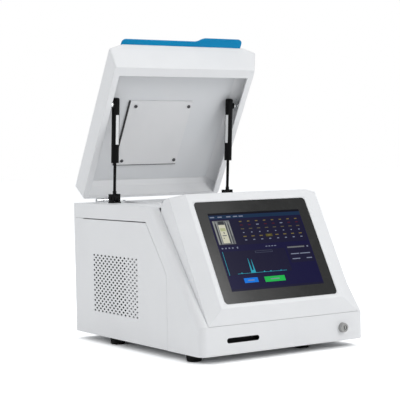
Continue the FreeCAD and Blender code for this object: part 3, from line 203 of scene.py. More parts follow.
def powder_coat(board, given):
    """Baked powder paint: a fine orange peel, faint handling marks, softened edges."""
    patches = board.noise(9.0, 5.0, Roughness=0.55)
    specks = board.noise(2600.0, 2.0)
    wipes = board.noise(38.0, 6.0, Distortion=1.4)
    peel = board.cells(900.0, "SMOOTH_F1")
    tone = board.mix(board.ramp(patches, 0.42, 0.72), given["Colour"], given["Shade"])
    grain = board.times(board.ramp(specks, 0.3, 0.7), 0.035)
    tone = board.mix(grain, tone, (0.55, 0.56, 0.58, 1))
    rubbed = board.times(board.ramp(wipes, 0.4, 0.75), -0.05)
    height = board.plus(peel, board.times(specks, 0.4))
    return (tone, board.plus(given["Gloss"], rubbed, clamp=True),
            board.relief(given["Peel"], 0.00006, height, given["Edge"]))


def drawn_metal(board, given):
    """Sheet or turned metal with fine drawn lines, scuffs and softened edges."""
    pulled = board.add("ShaderNodeVectorMath", {0: board.place, 1: given["Stretch"]},
                       operation="MULTIPLY")
    lines = board.noise(40.0, 6.0, Roughness=0.7, Vector=pulled.outputs[0])
    scuffs = board.noise(120.0, 8.0, Distortion=2.0)
    streak = board.ramp(lines, 0.3, 0.7)
    darker = board.add("ShaderNodeBrightContrast", {"Color": given["Colour"], "Bright": -0.08})
    tone = board.mix(streak, darker.outputs["Color"], given["Colour"])
    spread = board.times(board.plus(streak, -0.5), 0.12)
    worn = board.times(board.ramp(scuffs, 0.5, 0.8), 0.15)
    roughness = board.plus(board.plus(given["Gloss"], spread), worn, clamp=True)
    return tone, roughness, board.relief(given["Lines"], 0.00002, lines, 0.0003)


def moulded_plastic(board, given):
    """Moulded plastic: fine spark grain, and patches that are worn lighter and duller."""
    grain = board.cells(given["Grain Scale"])
    wear = board.ramp(board.noise(60.0, 7.0, Roughness=0.65), 0.5, 0.85)
    tone = board.mix(board.times(wear, 0.6), given["Colour"], given["Worn"])
    roughness = board.plus(given["Gloss"], board.times(wear, 0.2), clamp=True)
    return tone, roughness, board.relief(given["Grain"], 0.00004, grain, 0.0004)


def clean_gloss(board, given):
    """Glass or polished plastic: faint wipe marks and dust on a smooth face."""
    clouds = board.ramp(board.noise(7.0, 3.0), 0.3, 0.7)
    wipes = board.noise(45.0, 8.0, Distortion=2.5)
    dust = board.times(board.ramp(board.noise(1800.0, 1.0), 0.72, 0.8), 0.08)
    tone = board.mix(clouds, given["Colour"], given["Second Colour"])
    tone = board.mix(dust, tone, (0.6, 0.6, 0.6, 1))
    marks = board.times(board.ramp(wipes, 0.45, 0.8), given["Marks"])
    return (tone, board.plus(given["Gloss"], marks, clamp=True),
            board.relief(0.05, 0.00002, wipes, 0.0005))


def circuit_board(board, given):
    """Solder mask over copper runs, with pads in rows."""
    runs = board.add("ShaderNodeTexBrick", {"Vector": board.place, "Scale": 130.0,
                                            "Mortar Size": 0.035, "Brick Width": 1.6})
    runs = runs.outputs["Fac"]
    pads = board.ramp(board.cells(420.0, Randomness=0.25), 0.22, 0.18)
    haze = board.noise(35.0, 4.0)
    tone = board.mix(runs, given["Mask"], given["Copper"])
    tone = board.mix(board.times(pads, 0.6), tone, given["Pads"])
    bump = board.add("ShaderNodeBump", {"Strength": 0.4, "Distance": 0.0001,
                                        "Height": board.plus(runs, pads)})
    return tone, board.plus(0.28, board.times(haze, 0.25)), bump.outputs["Normal"]


def lit_picture(board, given):
    """Lit screen colour: the panel's dots, and a slow unevenness."""
    dots = board.cells(1500.0, Randomness=0.0)
    clouds = board.noise(6.0, 2.0)
    smear = board.noise(50.0, 7.0, Distortion=2.0)
    shade = board.plus(0.82, board.times(clouds, 0.36))
    shade = board.plus(shade, board.times(dots, -0.15))
    lit = board.add("ShaderNodeVectorMath", {0: given["Colour"], 1: shade},
                    operation="MULTIPLY")
    return (board.mix(0.8, given["Colour"], (0.003, 0.003, 0.006, 1)),
            board.plus(0.10, board.times(smear, 0.10)), lit.outputs[0])


# The shared node groups: what fills each, and its inputs' defaults, with grey for the
# colours that every finish gives.
GREY = (0.5, 0.5, 0.5, 1)
GROUPS = {
    "Powder coat": (powder_coat, {"Colour": GREY, "Shade": GREY, "Gloss": 0.42, "Peel": 0.25,
                                  "Edge": 0.0008}),
    "Drawn metal": (drawn_metal, {"Colour": GREY, "Gloss": 0.3, "Lines": 0.3,
                                  "Stretch": (1.0, 60.0, 60.0)}),
    "Moulded plastic": (moulded_plastic, {"Colour": GREY, "Worn": GREY, "Gloss": 0.45,
                                          "Grain": 0.4, "Grain Scale": 1400.0}),
    "Clean gloss": (clean_gloss, {"Colour": GREY, "Second Colour": GREY, "Gloss": 0.08,
                                  "Marks": 0.1}),
    "Circuit board": (circuit_board, {"Mask": (0.01, 0.13, 0.05, 1),
                                      "Copper": (0.03, 0.22, 0.09, 1),
                                      "Pads": (0.75, 0.6, 0.3, 1)}),
    "Lit picture": (lit_picture, {"Colour": GREY}),
}


def make_group(name):
    """Builds one shared node group with its named inputs and outputs."""
    fill, inputs = GROUPS[name]
    last = "Emission Color" if fill is lit_picture else "Normal"
    group = bpy.data.node_groups.new(name, "ShaderNodeTree")
    for label, value in inputs.items():
        kind = "Float"
        if not isinstance(value, float):
            kind = "Color" if len(value) == 4 else "Vector"
        socket = group.interface.new_socket(label, in_out="INPUT",
                                            socket_type="NodeSocket" + kind)
        socket.default_value = value
    entry = group.nodes.new("NodeGroupInput")
    entry.location = (-1800, 0)
    board = Board(group)
    results = dict(zip(("Base Color", "Roughness", last), fill(board, entry.outputs)))
    for label in results:
        kind = {"Roughness": "Float", "Normal": "Vector"}.get(label, "Color")
        group.interface.new_socket(label, in_out="OUTPUT", socket_type="NodeSocket" + kind)
    board.add("NodeGroupOutput", results)
    return group


# Starts the names of these materials, because the frame has some of its own.
OWN = "Analyzer "


def finish(name, group_name, inputs, **sockets):
    """A material that runs one shared node group into a principled shader."""
    material = bpy.data.materials.get(OWN + name)
    if material:
        return material
    material = bpy.data.materials.new(OWN + name)
    material.use_nodes = True
    tree = material.node_tree
    shader = tree.nodes["Principled BSDF"]
    look = tree.nodes.new("ShaderNodeGroup")
    look.node_tree = bpy.data.node_groups.get(group_name) or make_group(group_name)
    look.location = (-340, 300)
    for label, value in inputs.items():
        socket = look.inputs[label.replace("_", " ")]
        socket.default_value = (*value, 1.0) if socket.type == "RGBA" else value
    for output in look.outputs:
        tree.links.new(output, shader.inputs[output.name])
    for label, value in sockets.items():
        shader.inputs[label.replace("_", " ")].default_value = value
    return material


def make_finishes():
    """Every finish of the analyzer by name, from the colours in the panel."""
    look = bpy.context.scene.analyzer_finishes

    def paint(name, tone, shade, **inputs):
        return finish(name, "Powder coat", {"Colour": tone, "Shade": shade, **inputs},
                      Coat_Weight=0.12, Coat_Roughness=0.25)

    def metal(name, tone, **inputs):
        return finish(name, "Drawn metal", {"Colour": tone, **inputs}, Metallic=1.0)

    def plastic(name, tone, worn, specular=0.5, **inputs):
        return finish(name, "Moulded plastic", {"Colour": tone, "Worn": worn, **inputs},
                      Specular_IOR_Level=specular)

    def polish(name, tone, second, gloss, marks, **sockets):
        return finish(name, "Clean gloss", {"Colour": tone, "Second Colour": second,
                                            "Gloss": gloss, "Marks": marks}, **sockets)

    made = (
        paint("white paint", look.paint, look.paint_shade),
        paint("bezel paint", look.paint, look.paint_shade, Edge=0.0014),
        paint("liner", look.liner, (0.73, 0.745, 0.765), Gloss=0.40),
        paint("shield", look.shield, (0.76, 0.765, 0.775), Gloss=0.38, Edge=0.0005),
        metal("pan", (0.52, 0.53, 0.54), Gloss=0.42),
        metal("steel", (0.60, 0.61, 0.63)),
        metal("chrome", (0.80, 0.81, 0.82), Gloss=0.12, Lines=0.08),
        metal("aluminium", (0.93, 0.935, 0.94), Gloss=0.34, Lines=0.06,
              Stretch=(60.0, 1.0, 60.0)),
        metal("brass", (0.78, 0.58, 0.26), Gloss=0.24),
        metal("black oxide", (0.07, 0.07, 0.072), Gloss=0.36),
        metal("dark zinc", (0.15, 0.15, 0.155), Gloss=0.34),
        metal("key metal", (0.43, 0.43, 0.42), Gloss=0.14, Lines=0.15),
        plastic("black plastic", look.plastic, (0.011, 0.011, 0.012), 0.10),
        plastic("white plastic", (0.8, 0.8, 0.8), (0.65, 0.65, 0.63)),
        plastic("inside", (0.03, 0.03, 0.033), (0.08, 0.08, 0.085), Gloss=0.5),
        plastic("rubber", look.rubber, (0.045, 0.045, 0.044), 0.10, Gloss=0.72, Grain=0.8,
                Grain_Scale=700.0),
        # Near-black for the strip beside the shield plate: painted shadow of the gap under the
        # plate.
        plastic("seal", (0.035, 0.035, 0.036), (0.07, 0.07, 0.07), Gloss=0.7, Grain=0.5,
                Grain_Scale=700.0),
        # Near-black for the filter behind the vents: painted shade of the housing's inside, seen
        # through the holes.
        plastic("filter", (0.006, 0.006, 0.006), (0.02, 0.02, 0.02), 0.05, Gloss=0.9,
                Grain=1.0, Grain_Scale=420.0),
        plastic("label", (0.90, 0.905, 0.91), (0.78, 0.79, 0.80), 0.4, Gloss=0.38,
                Grain=0.05),
        polish("strut coat", look.strut, (0.006, 0.006, 0.0065), 0.30, 0.12,
               Specular_IOR_Level=0.10),
        polish("glass border", look.border, (0.020, 0.020, 0.019), 0.10, 0.10, IOR=1.45,
               Specular_IOR_Level=0.35),
        polish("grip", look.grip, look.grip_glow, 0.12, 0.08, IOR=1.49,
               Transmission_Weight=0.04, Specular_IOR_Level=0.12),
        polish("film", (0.62, 0.36, 0.06), (0.7, 0.45, 0.10), 0.15, 0.08, Alpha=0.85),
        finish("board", "Circuit board", {}))
    return {material.name.removeprefix(OWN): material for material in made}


# The nodes of the frame that take each finish.
NODE_FINISHES = {
    "white paint": "housing_shell left_side_panel right_side_panel rear_panel lid_shell",
    "bezel paint": "screen_bezel",
    "liner": "lid_liner",
    "shield": "shield_plate",
    "pan": "base_pan",
    "steel": "stage_screws tube_bracket collimator_motor key_switch_nut rear_ports hinge_pins",
    "key metal": "key_switch_body key_switch_rotor",
    "chrome": "base_hinge_leaves lid_hinge_leaves upper_strut_brackets",
    "aluminium": "stage_plate detector lcd_frame power_supply",
    "brass": "aperture_ring xray_tube collimator_wheel board_standoffs",
    "strut coat": "left_strut_rod left_strut_tube right_strut_rod right_strut_tube",
    "black plastic": "port_insert left_rod_fitting right_rod_fitting left_tube_fitting "
                     "right_tube_fitting lower_strut_brackets power_inlet rocker_frame "
                     "power_rocker fan_frame fan_rotor interlock_body",
    "white plastic": "interlock_plunger",
    "rubber": "feet",
    "black oxide": "rear_panel_screws",
    "dark zinc": "shield_screws",
    "glass border": "touch_glass",
    "grip": "grip_plate",
    "film": "window_film",
    "board": "mainboard",
    "inside": "sample_camera stage_lamp hv_generator lcd_panel",
}


def clear_selection():
    if bpy.context.object and bpy.context.object.mode != "OBJECT":
        bpy.ops.object.mode_set(mode="OBJECT")
    bpy.ops.object.select_all(action="DESELECT")


def take(piece):
    """Makes one piece the only one that the tools act on."""
    clear_selection()
    piece.select_set(True)
    bpy.context.view_layer.objects.active = piece


def begin(name, add, applied=False, **sizes):
    """Adds a primitive, applies its place and size if asked, and opens it."""
    clear_selection()
    add(**sizes)
    bpy.ops.object.transform_apply(location=applied, rotation=False, scale=applied)
    piece = bpy.context.object
    piece.name = piece.data.name = name
    bpy.ops.object.mode_set(mode="EDIT")
    return piece


def begin_box(name, centre, size, applied=True):
    return begin(name, bpy.ops.mesh.primitive_cube_add, applied, size=1, location=centre,
                 scale=size)


# How squarely a picked face looks along an axis, how far a side may lean, and how close two
# places are that count as one.
SQUARE, ASIDE, NEAR = 0.99, 0.5, 0.0003


def pick(piece, kind, wanted):
    """Selects the faces, edges or vertices of the open piece that the test takes."""
    bpy.ops.mesh.select_mode(type=kind)
    bpy.ops.mesh.select_all(action="DESELECT")
    mesh = bmesh.from_edit_mesh(piece.data)
    for item in {"FACE": mesh.faces, "EDGE": mesh.edges, "VERT": mesh.verts}[kind]:
        item.select_set(bool(wanted(item)))
    mesh.select_flush_mode()
    bmesh.update_edit_mesh(piece.data)


def extrude(*way):
    """Pulls the selected faces out, with walls behind them."""
    bpy.ops.mesh.extrude_region_move(TRANSFORM_OT_translate={"value": way})


def close():
    """Leaves edit mode with the normals outward."""
    bpy.ops.mesh.select_all(action="SELECT")
    bpy.ops.mesh.normals_make_consistent(inside=False)
    bpy.ops.object.mode_set(mode="OBJECT")


def set_leaning(piece, lean, place):
    """Tips a piece that was modelled lying flat, and puts it in its place."""
    piece.rotation_euler = (lean, 0.0, 0.0)
    piece.location = place


def settle(piece, look, body, angle=30.0):
    """Gives a shaped piece its finish, an origin in the frame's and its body."""
    take(piece)
    bpy.ops.object.transform_apply()
    if look:
        piece.data.materials.clear()
        piece.data.materials.append(make_finishes()[look])
    bpy.ops.object.shade_smooth_by_angle(angle=math.radians(angle))
    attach(piece, body)


def add_modifier(piece, kind, **settings):
    """Adds one modifier and applies it."""
    take(piece)
    modifier = piece.modifiers.new(kind.title(), kind)
    for name, value in settings.items():
        setattr(modifier, name, value)
    bpy.ops.object.modifier_apply(modifier=modifier.name)


def copy_piece(piece, name, matrix):
    """A copy of a shaped model with a mesh of its own, moved by a matrix."""
    twin = piece.copy()
    twin.data = piece.data.copy()
    twin.name = twin.data.name = name
    bpy.context.collection.objects.link(twin)
    twin.matrix_world = matrix
    return twin


def islands(node):
    """Middle and two corners of every separate solid of a frame node."""
    source = frame["nodes"][node]
    points = [source.matrix_world @ vertex.co for vertex in source.data.vertices]
    groups = []
    for face in source.data.polygons:
        corners = [points[index] for index in face.vertices]
        low, high = (Vector(map(choice, *corners)) for choice in (min, max))
        for group in [group for group in groups if touching(group, (low, high))]:
            groups.remove(group)
            low, high = Vector(map(min, low, group[0])), Vector(map(max, high, group[1]))
        groups.append((low, high))
    return [((low + high) / 2, low, high) for low, high in groups]


def touching(first, second, gap=1e-5):
    """Whether two boxes, each a low and a high corner, meet."""
    return all(first[0][axis] <= second[1][axis] + gap and
               second[0][axis] <= first[1][axis] + gap for axis in range(3))


def leaning_sheet(node, lean):
    """Width, depth, thickness and middle of a flat piece that leans in the frame."""
    low, high = (Vector(corner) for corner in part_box(node))
    reach, rise = high.y - low.y, high.z - low.z
    cosine, sine = math.cos(lean), math.sin(lean)
    share = sine * sine - cosine * cosine
    deep = (rise * sine - reach * cosine) / share
    thick = (reach * sine - rise * cosine) / share
    return high.x - low.x, deep, thick, (low + high) / 2


class ANALYZER_OT_finishes(bpy.types.Operator):
    """Give every solid of the frame its finish"""

    bl_idname = "analyzer.finishes"
    bl_label = "Finishes"

    def execute(self, context):
        finishes = make_finishes()
        left = set(frame["nodes"])
        for label, nodes in NODE_FINISHES.items():
            for node in nodes.split():
                mesh = frame["nodes"][node].data
                mesh.materials.clear()
                mesh.materials.append(finishes[label])
                left.discard(node)
        if left:
            raise RuntimeError(f"no finish for {sorted(left)}")
        return {"FINISHED"}


# The lit picture on the slope: its sides, its field, and the rise of its patches.
PICTURE_LEFT, PICTURE_RIGHT, PICTURE_BOTTOM, PICTURE_TOP = -0.1055, 0.106, 0.024, 0.181
PICTURE_WIDE, PICTURE_TALL = PICTURE_RIGHT - PICTURE_LEFT, PICTURE_TOP - PICTURE_BOTTOM
FIELD_MIDDLE, FIELD_THICK, FIELD_BORDER = -0.00065, 0.0005, 0.0008
PATCH_FOOT, PATCH_RISE, LAYER_RISE = -0.0009, 0.00045, 0.00008

# The spectrum: peaks as (middle, half width, top) in thousandths of the picture, the line
# that they stand on, their thickness, the step between them, and how sharp they end.
SPECTRUM_PEAKS = ((160, 10, 774), (268, 9, 600), (300, 9, 618), (285, 28, 752),
                  (400, 10, 772), (470, 12, 776), (580, 10, 778))
PEAK_LINE, PEAK_THICK, PEAK_STEP, PEAK_TIP = 787, 0.0006, 0.00004, 0.12

# Patches: colour, layer, left, right, top and bottom, in thousandths of the picture.
PATCHES = (
    ("black", 1, 0, 1000, 0, 26), ("slate", 1, 0, 1000, 30, 76), ("navy", 1, 12, 985, 88, 425),
    ("navy", 1, 12, 700, 500, 800), ("navy", 1, 722, 985, 478, 700),
    ("navy", 1, 0, 1000, 975, 1000), ("grey", 2, 20, 200, 100, 408), ("pale", 3, 26, 34, 104, 400),
    ("dark", 3, 40, 52, 140, 404), ("pale", 3, 56, 64, 110, 400), ("dark", 3, 78, 138, 108, 150),
    ("bright", 3, 72, 142, 156, 392), ("sage", 4, 80, 134, 196, 236),
    ("dark", 5, 104, 114, 250, 268), ("grey", 4, 84, 128, 288, 300), ("dark", 5, 88, 96, 320, 334),
    ("dark", 3, 148, 156, 120, 400), ("pale", 3, 160, 168, 112, 402),
    ("dark", 3, 174, 182, 150, 404), ("pale", 3, 187, 193, 120, 300),
    ("soft cyan", 2, 370, 557, 514, 540), ("navy", 3, 374, 553, 518, 536),
    ("cyan", 2, 26, 30, 500, 800), ("cyan", 2, 113, 646, 786, 790), ("grey", 2, 732, 923, 490, 508),
    ("white", 2, 950, 966, 490, 508), ("white", 2, 747, 838, 581, 593),
    ("white", 2, 850, 963, 581, 593), ("white", 2, 747, 833, 646, 658),
    ("white", 2, 907, 967, 646, 658), ("blue", 2, 160, 306, 847, 908),
    ("white", 3, 200, 266, 872, 884), ("green", 2, 378, 597, 849, 917),
    ("white", 3, 440, 535, 877, 889), ("olive", 2, 543.1, 615.1, 303, 338))

# Rows of short white marks: their left sides, their width, top and bottom.
MARKS = (((12, 93, 186, 258, 319), 45, 46, 60), ((33, 69, 105, 141), 16, 449, 465),
         ((192,), 14, 446, 468), ((500, 532, 564, 596), 20, 459, 469))

# Rows of the picture's table, as (middle, colour, width of an entry), and its columns.
TABLE_ROWS = ((123, "amber", 27.2), (170, "red", 30), (220, "brown", 36),
              (268, "white", 14.4), (320, "amber", 34), (366, "white", 21.6))
TABLE_LEFT, TABLE_STEP, TABLE_COLUMNS, ENTRY_HALF = 316, 87.7, 8, 6

# Colours of the patches, in thousandths.
SCREEN_COLOURS = {
    "black": (2, 2, 4), "slate": (6, 22, 55), "navy": (7, 6, 24), "white": (170, 190, 260),
    "grey": (130, 135, 140), "dark": (35, 37, 40), "pale": (270, 280, 270),
    "sage": (360, 380, 220), "bright": (520, 510, 400), "amber": (150, 115, 35),
    "red": (60, 6, 14), "brown": (80, 70, 40), "olive": (70, 60, 10), "blue": (0, 150, 620),
    "green": (10, 380, 60), "soft cyan": (60, 70, 110), "cyan": (20, 300, 400),
}


def screen_patches():
    """All patches of the picture, with its marks and its table."""
    patches = list(PATCHES)
    for lefts, width, top, bottom in MARKS:
        patches += [("white", 2, left, left + width, top, bottom) for left in lefts]
    for middle, tint, width in TABLE_ROWS:
        for column in range(TABLE_COLUMNS):
            centre = TABLE_LEFT + column * TABLE_STEP
            tone = "white" if tint == "red" and column in (2, 5) else tint
            patches.append((tone, 3, centre - width / 2, centre + width / 2,
                            middle - ENTRY_HALF, middle + ENTRY_HALF))
    return patches


class ANALYZER_OT_screen_picture(bpy.types.Operator):
    """Build the lit picture of the operating screen on the touch glass"""

    bl_idname = "analyzer.screen_picture"
    bl_label = "Screen picture"

    def execute(self, context):
        strength = float(context.scene.analyzer_sizes.lit)
        colours = {"screen field": context.scene.analyzer_finishes.backlight}
        for name, tone in SCREEN_COLOURS.items():
            colours[name] = [part / 1000 for part in tone]
        piece = begin_box("Screen_picture",
                          (PICTURE_LEFT + PICTURE_WIDE / 2, PICTURE_BOTTOM + PICTURE_TALL / 2,
                           FIELD_MIDDLE), (PICTURE_WIDE, PICTURE_TALL, FIELD_THICK), False)
        pick(piece, "FACE", lambda face: face.normal.z > SQUARE)
        bpy.ops.mesh.inset(thickness=FIELD_BORDER)
        bpy.ops.object.mode_set(mode="OBJECT")
        bpy.ops.object.transform_apply()
        for name, tone in colours.items():
            piece.data.materials.append(
                finish(name, "Lit picture", {"Colour": tone}, Emission_Strength=strength,
                       Specular_IOR_Level=0.06))
        bpy.ops.object.mode_set(mode="EDIT")
        for name, layer, *sides in screen_patches():
            self.lay_patch(sides, PATCH_FOOT, PATCH_RISE + LAYER_RISE * layer)
            self.light_patch(piece, name)
        for index, (middle, half, top) in enumerate(SPECTRUM_PEAKS):
            sides = (middle - half, middle + half, top, PEAK_LINE)
            centre = self.lay_patch(sides, PATCH_FOOT + PEAK_STEP * index, PEAK_THICK)
            self.sharpen(piece, centre)
            self.light_patch(piece, "cyan")
        close()
        set_leaning(piece, SLOPE_LEAN, SLOPE_ORIGIN)
        settle(piece, None, "frame")
        return {"FINISHED"}

    def lay_patch(self, sides, foot, rise):
        """Adds a raised patch by its sides in thousandths of the picture."""
        left, right, top, bottom = (side / 1000 for side in sides)
        centre = Vector((PICTURE_LEFT + PICTURE_WIDE * (left + right) / 2,
                         PICTURE_TOP - PICTURE_TALL * (top + bottom) / 2, foot + rise / 2))
        bpy.ops.mesh.primitive_cube_add(
            size=1, location=centre,
            scale=(PICTURE_WIDE * (right - left), PICTURE_TALL * (bottom - top), rise))
        return centre

    def light_patch(self, piece, name):
        """Gives the selected patch its colour."""
        piece.active_material_index = piece.data.materials.find(OWN + name)
        bpy.ops.object.material_slot_assign()

    def sharpen(self, piece, centre):
        """Draws the upper end of the patch that was just added to a point."""
        mesh = bmesh.from_edit_mesh(piece.data)
        for vertex in [vertex for vertex in mesh.verts if vertex.select]:
            vertex.select_set(vertex.co.y > centre.y)
        mesh.select_flush_mode()
        bmesh.update_edit_mesh(piece.data)
        bpy.ops.transform.resize(value=(PEAK_TIP, 1.0, 1.0), center_override=centre)
        bpy.ops.mesh.select_linked()


# The rim round the glass: its width, its lap over the glass, its thickness and its middle.
RIM_WIDE, RIM_LAP, RIM_THICK, RIM_MIDDLE = 0.0009, 0.0010, 0.0005, -0.0003


class ANALYZER_OT_glass_rim(bpy.types.Operator):
    """Lay the round-cornered rim of the screen unit over the glass's edge"""

    bl_idname = "analyzer.glass_rim"
    bl_label = "Glass rim"

    def execute(self, context):
        wide, tall, _, centre = leaning_sheet("touch_glass", SLOPE_LEAN)
        flat = Matrix.Rotation(-SLOPE_LEAN, 3, "X") @ (centre - SLOPE_ORIGIN)
        piece = begin_box("Glass_rim", (flat.x, flat.y, RIM_MIDDLE),
                          (wide + RIM_LAP, tall + RIM_LAP, RIM_THICK))
        pick(piece, "FACE", lambda face: abs(face.normal.z) > SQUARE)
        bpy.ops.mesh.inset(thickness=RIM_WIDE)
        bpy.ops.mesh.delete(type="FACE")
        pick(piece, "EDGE", lambda edge: edge.is_boundary)
        bpy.ops.mesh.bridge_edge_loops()
        inside = (wide + RIM_LAP - RIM_WIDE) / 2
        pick(piece, "EDGE", lambda edge: abs(edge.verts[0].co.z - edge.verts[1].co.z) > NEAR
             and abs(edge.verts[0].co.x - flat.x) < inside)
        bpy.ops.mesh.bevel(offset=context.scene.analyzer_sizes.glass_corner, segments=8)
        close()
        set_leaning(piece, SLOPE_LEAN, SLOPE_ORIGIN)
        settle(piece, "bezel paint", "frame")
        return {"FINISHED"}


# The grip: where its front edge steps forward and how far, the radii of its corners and of
# the step's, and the width of its polished rim.
GRIP_STEP_END, GRIP_STEP = 0.043, 0.008
GRIP_CORNER, STEP_CORNER, GRIP_POLISH = 0.009, 0.006, 0.0005


class ANALYZER_OT_grip_sheet(bpy.types.Operator):
    """Shape the clear blue grip with its stepped front edge and polished rims"""

    bl_idname = "analyzer.grip_sheet"
    bl_label = "Grip sheet"

    def execute(self, context):
        slope = context.scene.analyzer_sizes.grip_slope
        wide, deep, thick, centre = leaning_sheet("grip_plate", LID_OPEN)
        end = GRIP_STEP_END - centre.x
        piece = begin_box("Grip_sheet", ((end + wide / 2) / 2, 0.0, 0.0),
                          (wide / 2 - end, deep, thick))
        pick(piece, "FACE", lambda face: face.normal.x < -SQUARE)
        extrude(-slope, 0, 0)
        pick(piece, "VERT", lambda vertex: vertex.co.x < end - NEAR and vertex.co.y < 0)
        bpy.ops.transform.translate(value=(0, GRIP_STEP, 0))
        pick(piece, "FACE", lambda face: face.normal.x < -SQUARE)
        extrude(-wide / 2 - end + slope, 0, 0)
        self.round_corners(piece, (-wide / 2, wide / 2), GRIP_CORNER)
        self.round_corners(piece, (end, end - slope), STEP_CORNER)
        close()
        set_leaning(piece, -LID_OPEN, centre)
        add_modifier(piece, "BEVEL", width=GRIP_POLISH, segments=2, limit_method="ANGLE",
                     angle_limit=math.radians(60))
        settle(piece, "grip", "lid")
        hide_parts("grip_plate")
        return {"FINISHED"}

    def round_corners(self, piece, places, radius):
        """Rounds the upright front corners that stand at two places across the sheet."""
        pick(piece, "EDGE", lambda edge: abs(edge.verts[0].co.z - edge.verts[1].co.z) > NEAR
             and edge.verts[0].co.y < 0
             and any(abs(edge.verts[0].co.x - place) < NEAR for place in places))
        bpy.ops.mesh.bevel(offset=radius, segments=8)


# Which way each strut's label faces, its thickness, and its gap to the tube's end.
LABEL_SIDES = (("left", -1, (0.06, -1.0, 0.0)), ("right", 1, (-0.93, -0.36, 0.0)))
LABEL_THICK, LABEL_GAP = 0.00012, 0.005


def strut_reach(low, high):
    """Where a strut's piece starts and ends, from its box, as lengths up from the foot."""
    return [(height - STRUT_FOOT.z) / STRUT_WAY.z for height in (low[2], high[2])]


def begin_on_strut(name, way, start, end, **sizes):
    """Opens a new cylinder on the left or the right strut, between two lengths up."""
    place = STRUT_FOOT + STRUT_WAY * (start + end) / 2
    place.x *= way
    return begin(name, bpy.ops.mesh.primitive_cylinder_add, depth=end - start,
                 location=place, rotation=(STRUT_LEAN, 0.0, 0.0), **sizes)


class ANALYZER_OT_strut_labels(bpy.types.Operator):
    """Wrap a bare label round the tube of each gas strut"""

    bl_idname = "analyzer.strut_labels"
    bl_label = "Strut labels"

    def execute(self, context):
        sizes = context.scene.analyzer_sizes
        reach = math.cos(sizes.label_turn / 2)
        for side, way, facing in LABEL_SIDES:
            facing = Vector(facing).normalized()
            low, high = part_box(f"{side}_strut_tube")
            start, end = strut_reach(low, high)
            top = end - LABEL_GAP
            piece = begin_on_strut(f"{side.capitalize()}_strut_label", way,
                                   top - (end - start) * sizes.label_share, top,
                                   radius=(high[0] - low[0]) / 2 + LABEL_THICK,
                                   vertices=64, end_fill_type="NOTHING")
            pick(piece, "FACE", lambda face: face.normal.dot(facing) < reach)
            bpy.ops.mesh.delete(type="FACE")
            close()
            add_modifier(piece, "SOLIDIFY", thickness=LABEL_THICK, offset=1.0)
            settle(piece, "label", f"{side}_tube")
        return {"FINISHED"}


# The struts' heads: radius, rounding of the upper and the lower end, and the ball's socket.
HEAD_RADIUS, HEAD_ROUND, HEAD_EASE = 0.0078, 0.0034, 0.0008
SOCKET_RADIUS, SOCKET_MOUTH, SOCKET_DEPTH = 0.0072, 0.0062, 0.0062


class ANALYZER_OT_strut_heads(bpy.types.Operator):
    """Give each gas strut a rounded head with the socket of its ball stud"""

    bl_idname = "analyzer.strut_heads"
    bl_label = "Strut heads"

    def execute(self, context):
        for side, way in (("left", -1), ("right", 1)):
            low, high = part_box(f"{side}_tube_fitting")
            piece = begin_on_strut(f"{side.capitalize()}_strut_head", way,
                                   *strut_reach(low, high), vertices=32, radius=HEAD_RADIUS)
            for sign, offset, segments in ((1, HEAD_ROUND, 4), (-1, HEAD_EASE, 2)):
                pick(piece, "EDGE", lambda edge: all(vertex.co.z * sign > 0
                                                     for vertex in edge.verts)
                     and any(face.normal.z * sign > SQUARE for face in edge.link_faces))
                bpy.ops.mesh.bevel(offset=offset, segments=segments)
            stud = Vector((way * (STRUT_HEAD.x + HEAD_RADIUS), STRUT_HEAD.y, STRUT_HEAD.z))
            bpy.ops.mesh.primitive_cone_add(vertices=28, radius1=SOCKET_RADIUS,
                                            radius2=SOCKET_MOUTH, depth=SOCKET_DEPTH,
                                            location=stud, rotation=(0.0, way * math.pi / 2, 0.0))
            close()
            settle(piece, "black plastic", f"{side}_tube")
            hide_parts(f"{side}_tube_fitting")
        return {"FINISHED"}


# The dark strip beside the shield plate is painted shadow of the gap under the plate and of its
# left edge.
# Its lower leg and its thickness, as parts of its width and of the plate's thickness.
SHADOW_STRIP_FOOT, SHADOW_STRIP_THICK = 0.55, 0.85


class ANALYZER_OT_shield_shadow_strip(bpy.types.Operator):
    """Run a dark strip of painted shadow along the lower and the left edge of the shield plate"""

    bl_idname = "analyzer.shield_seal"
    bl_label = "Shield seal"

    def execute(self, context):
        width = context.scene.analyzer_sizes.shadow_strip_width
        wide, deep, thick, centre = leaning_sheet("shield_plate", LID_OPEN)
        foot = width * SHADOW_STRIP_FOOT
        piece = begin_box("Shield_seal", (-(wide + width) / 2, (deep + foot) / 2, 0.0),
                          (width, foot, thick * SHADOW_STRIP_THICK))
        pick(piece, "FACE", lambda face: face.normal.y < -SQUARE)
        extrude(0, -deep, 0)
        pick(piece, "FACE", lambda face: face.normal.x > SQUARE
             and face.calc_center_median().y > deep / 2)
        extrude(wide, 0, 0)
        close()
        set_leaning(piece, -LID_OPEN, centre)
        settle(piece, "seal", "lid")
        return {"FINISHED"}


# Screw heads: height, how far they sink in, their dome and socket as shares of their size,
# and each set's node, name, body, finish and way.
SCREW_RISE, SCREW_SUNK = 0.0022, 0.0008
SCREW_DOME, SOCKET_RIM, SOCKET_DEEP, SOCKET_NARROW = 0.6, 0.25, 0.7, 0.85
SCREW_SETS = (
    ("shield_screws", "Shield_screw", "lid", "dark zinc",
     Vector((0.0, -math.sin(LID_OPEN), -math.cos(LID_OPEN)))),
    ("stage_screws", "Stage_screw", "frame", "steel", Vector((0, 0, 1))),
    ("rear_panel_screws", "Rear_screw", "frame", "black oxide", Vector((0, 1, 0))))


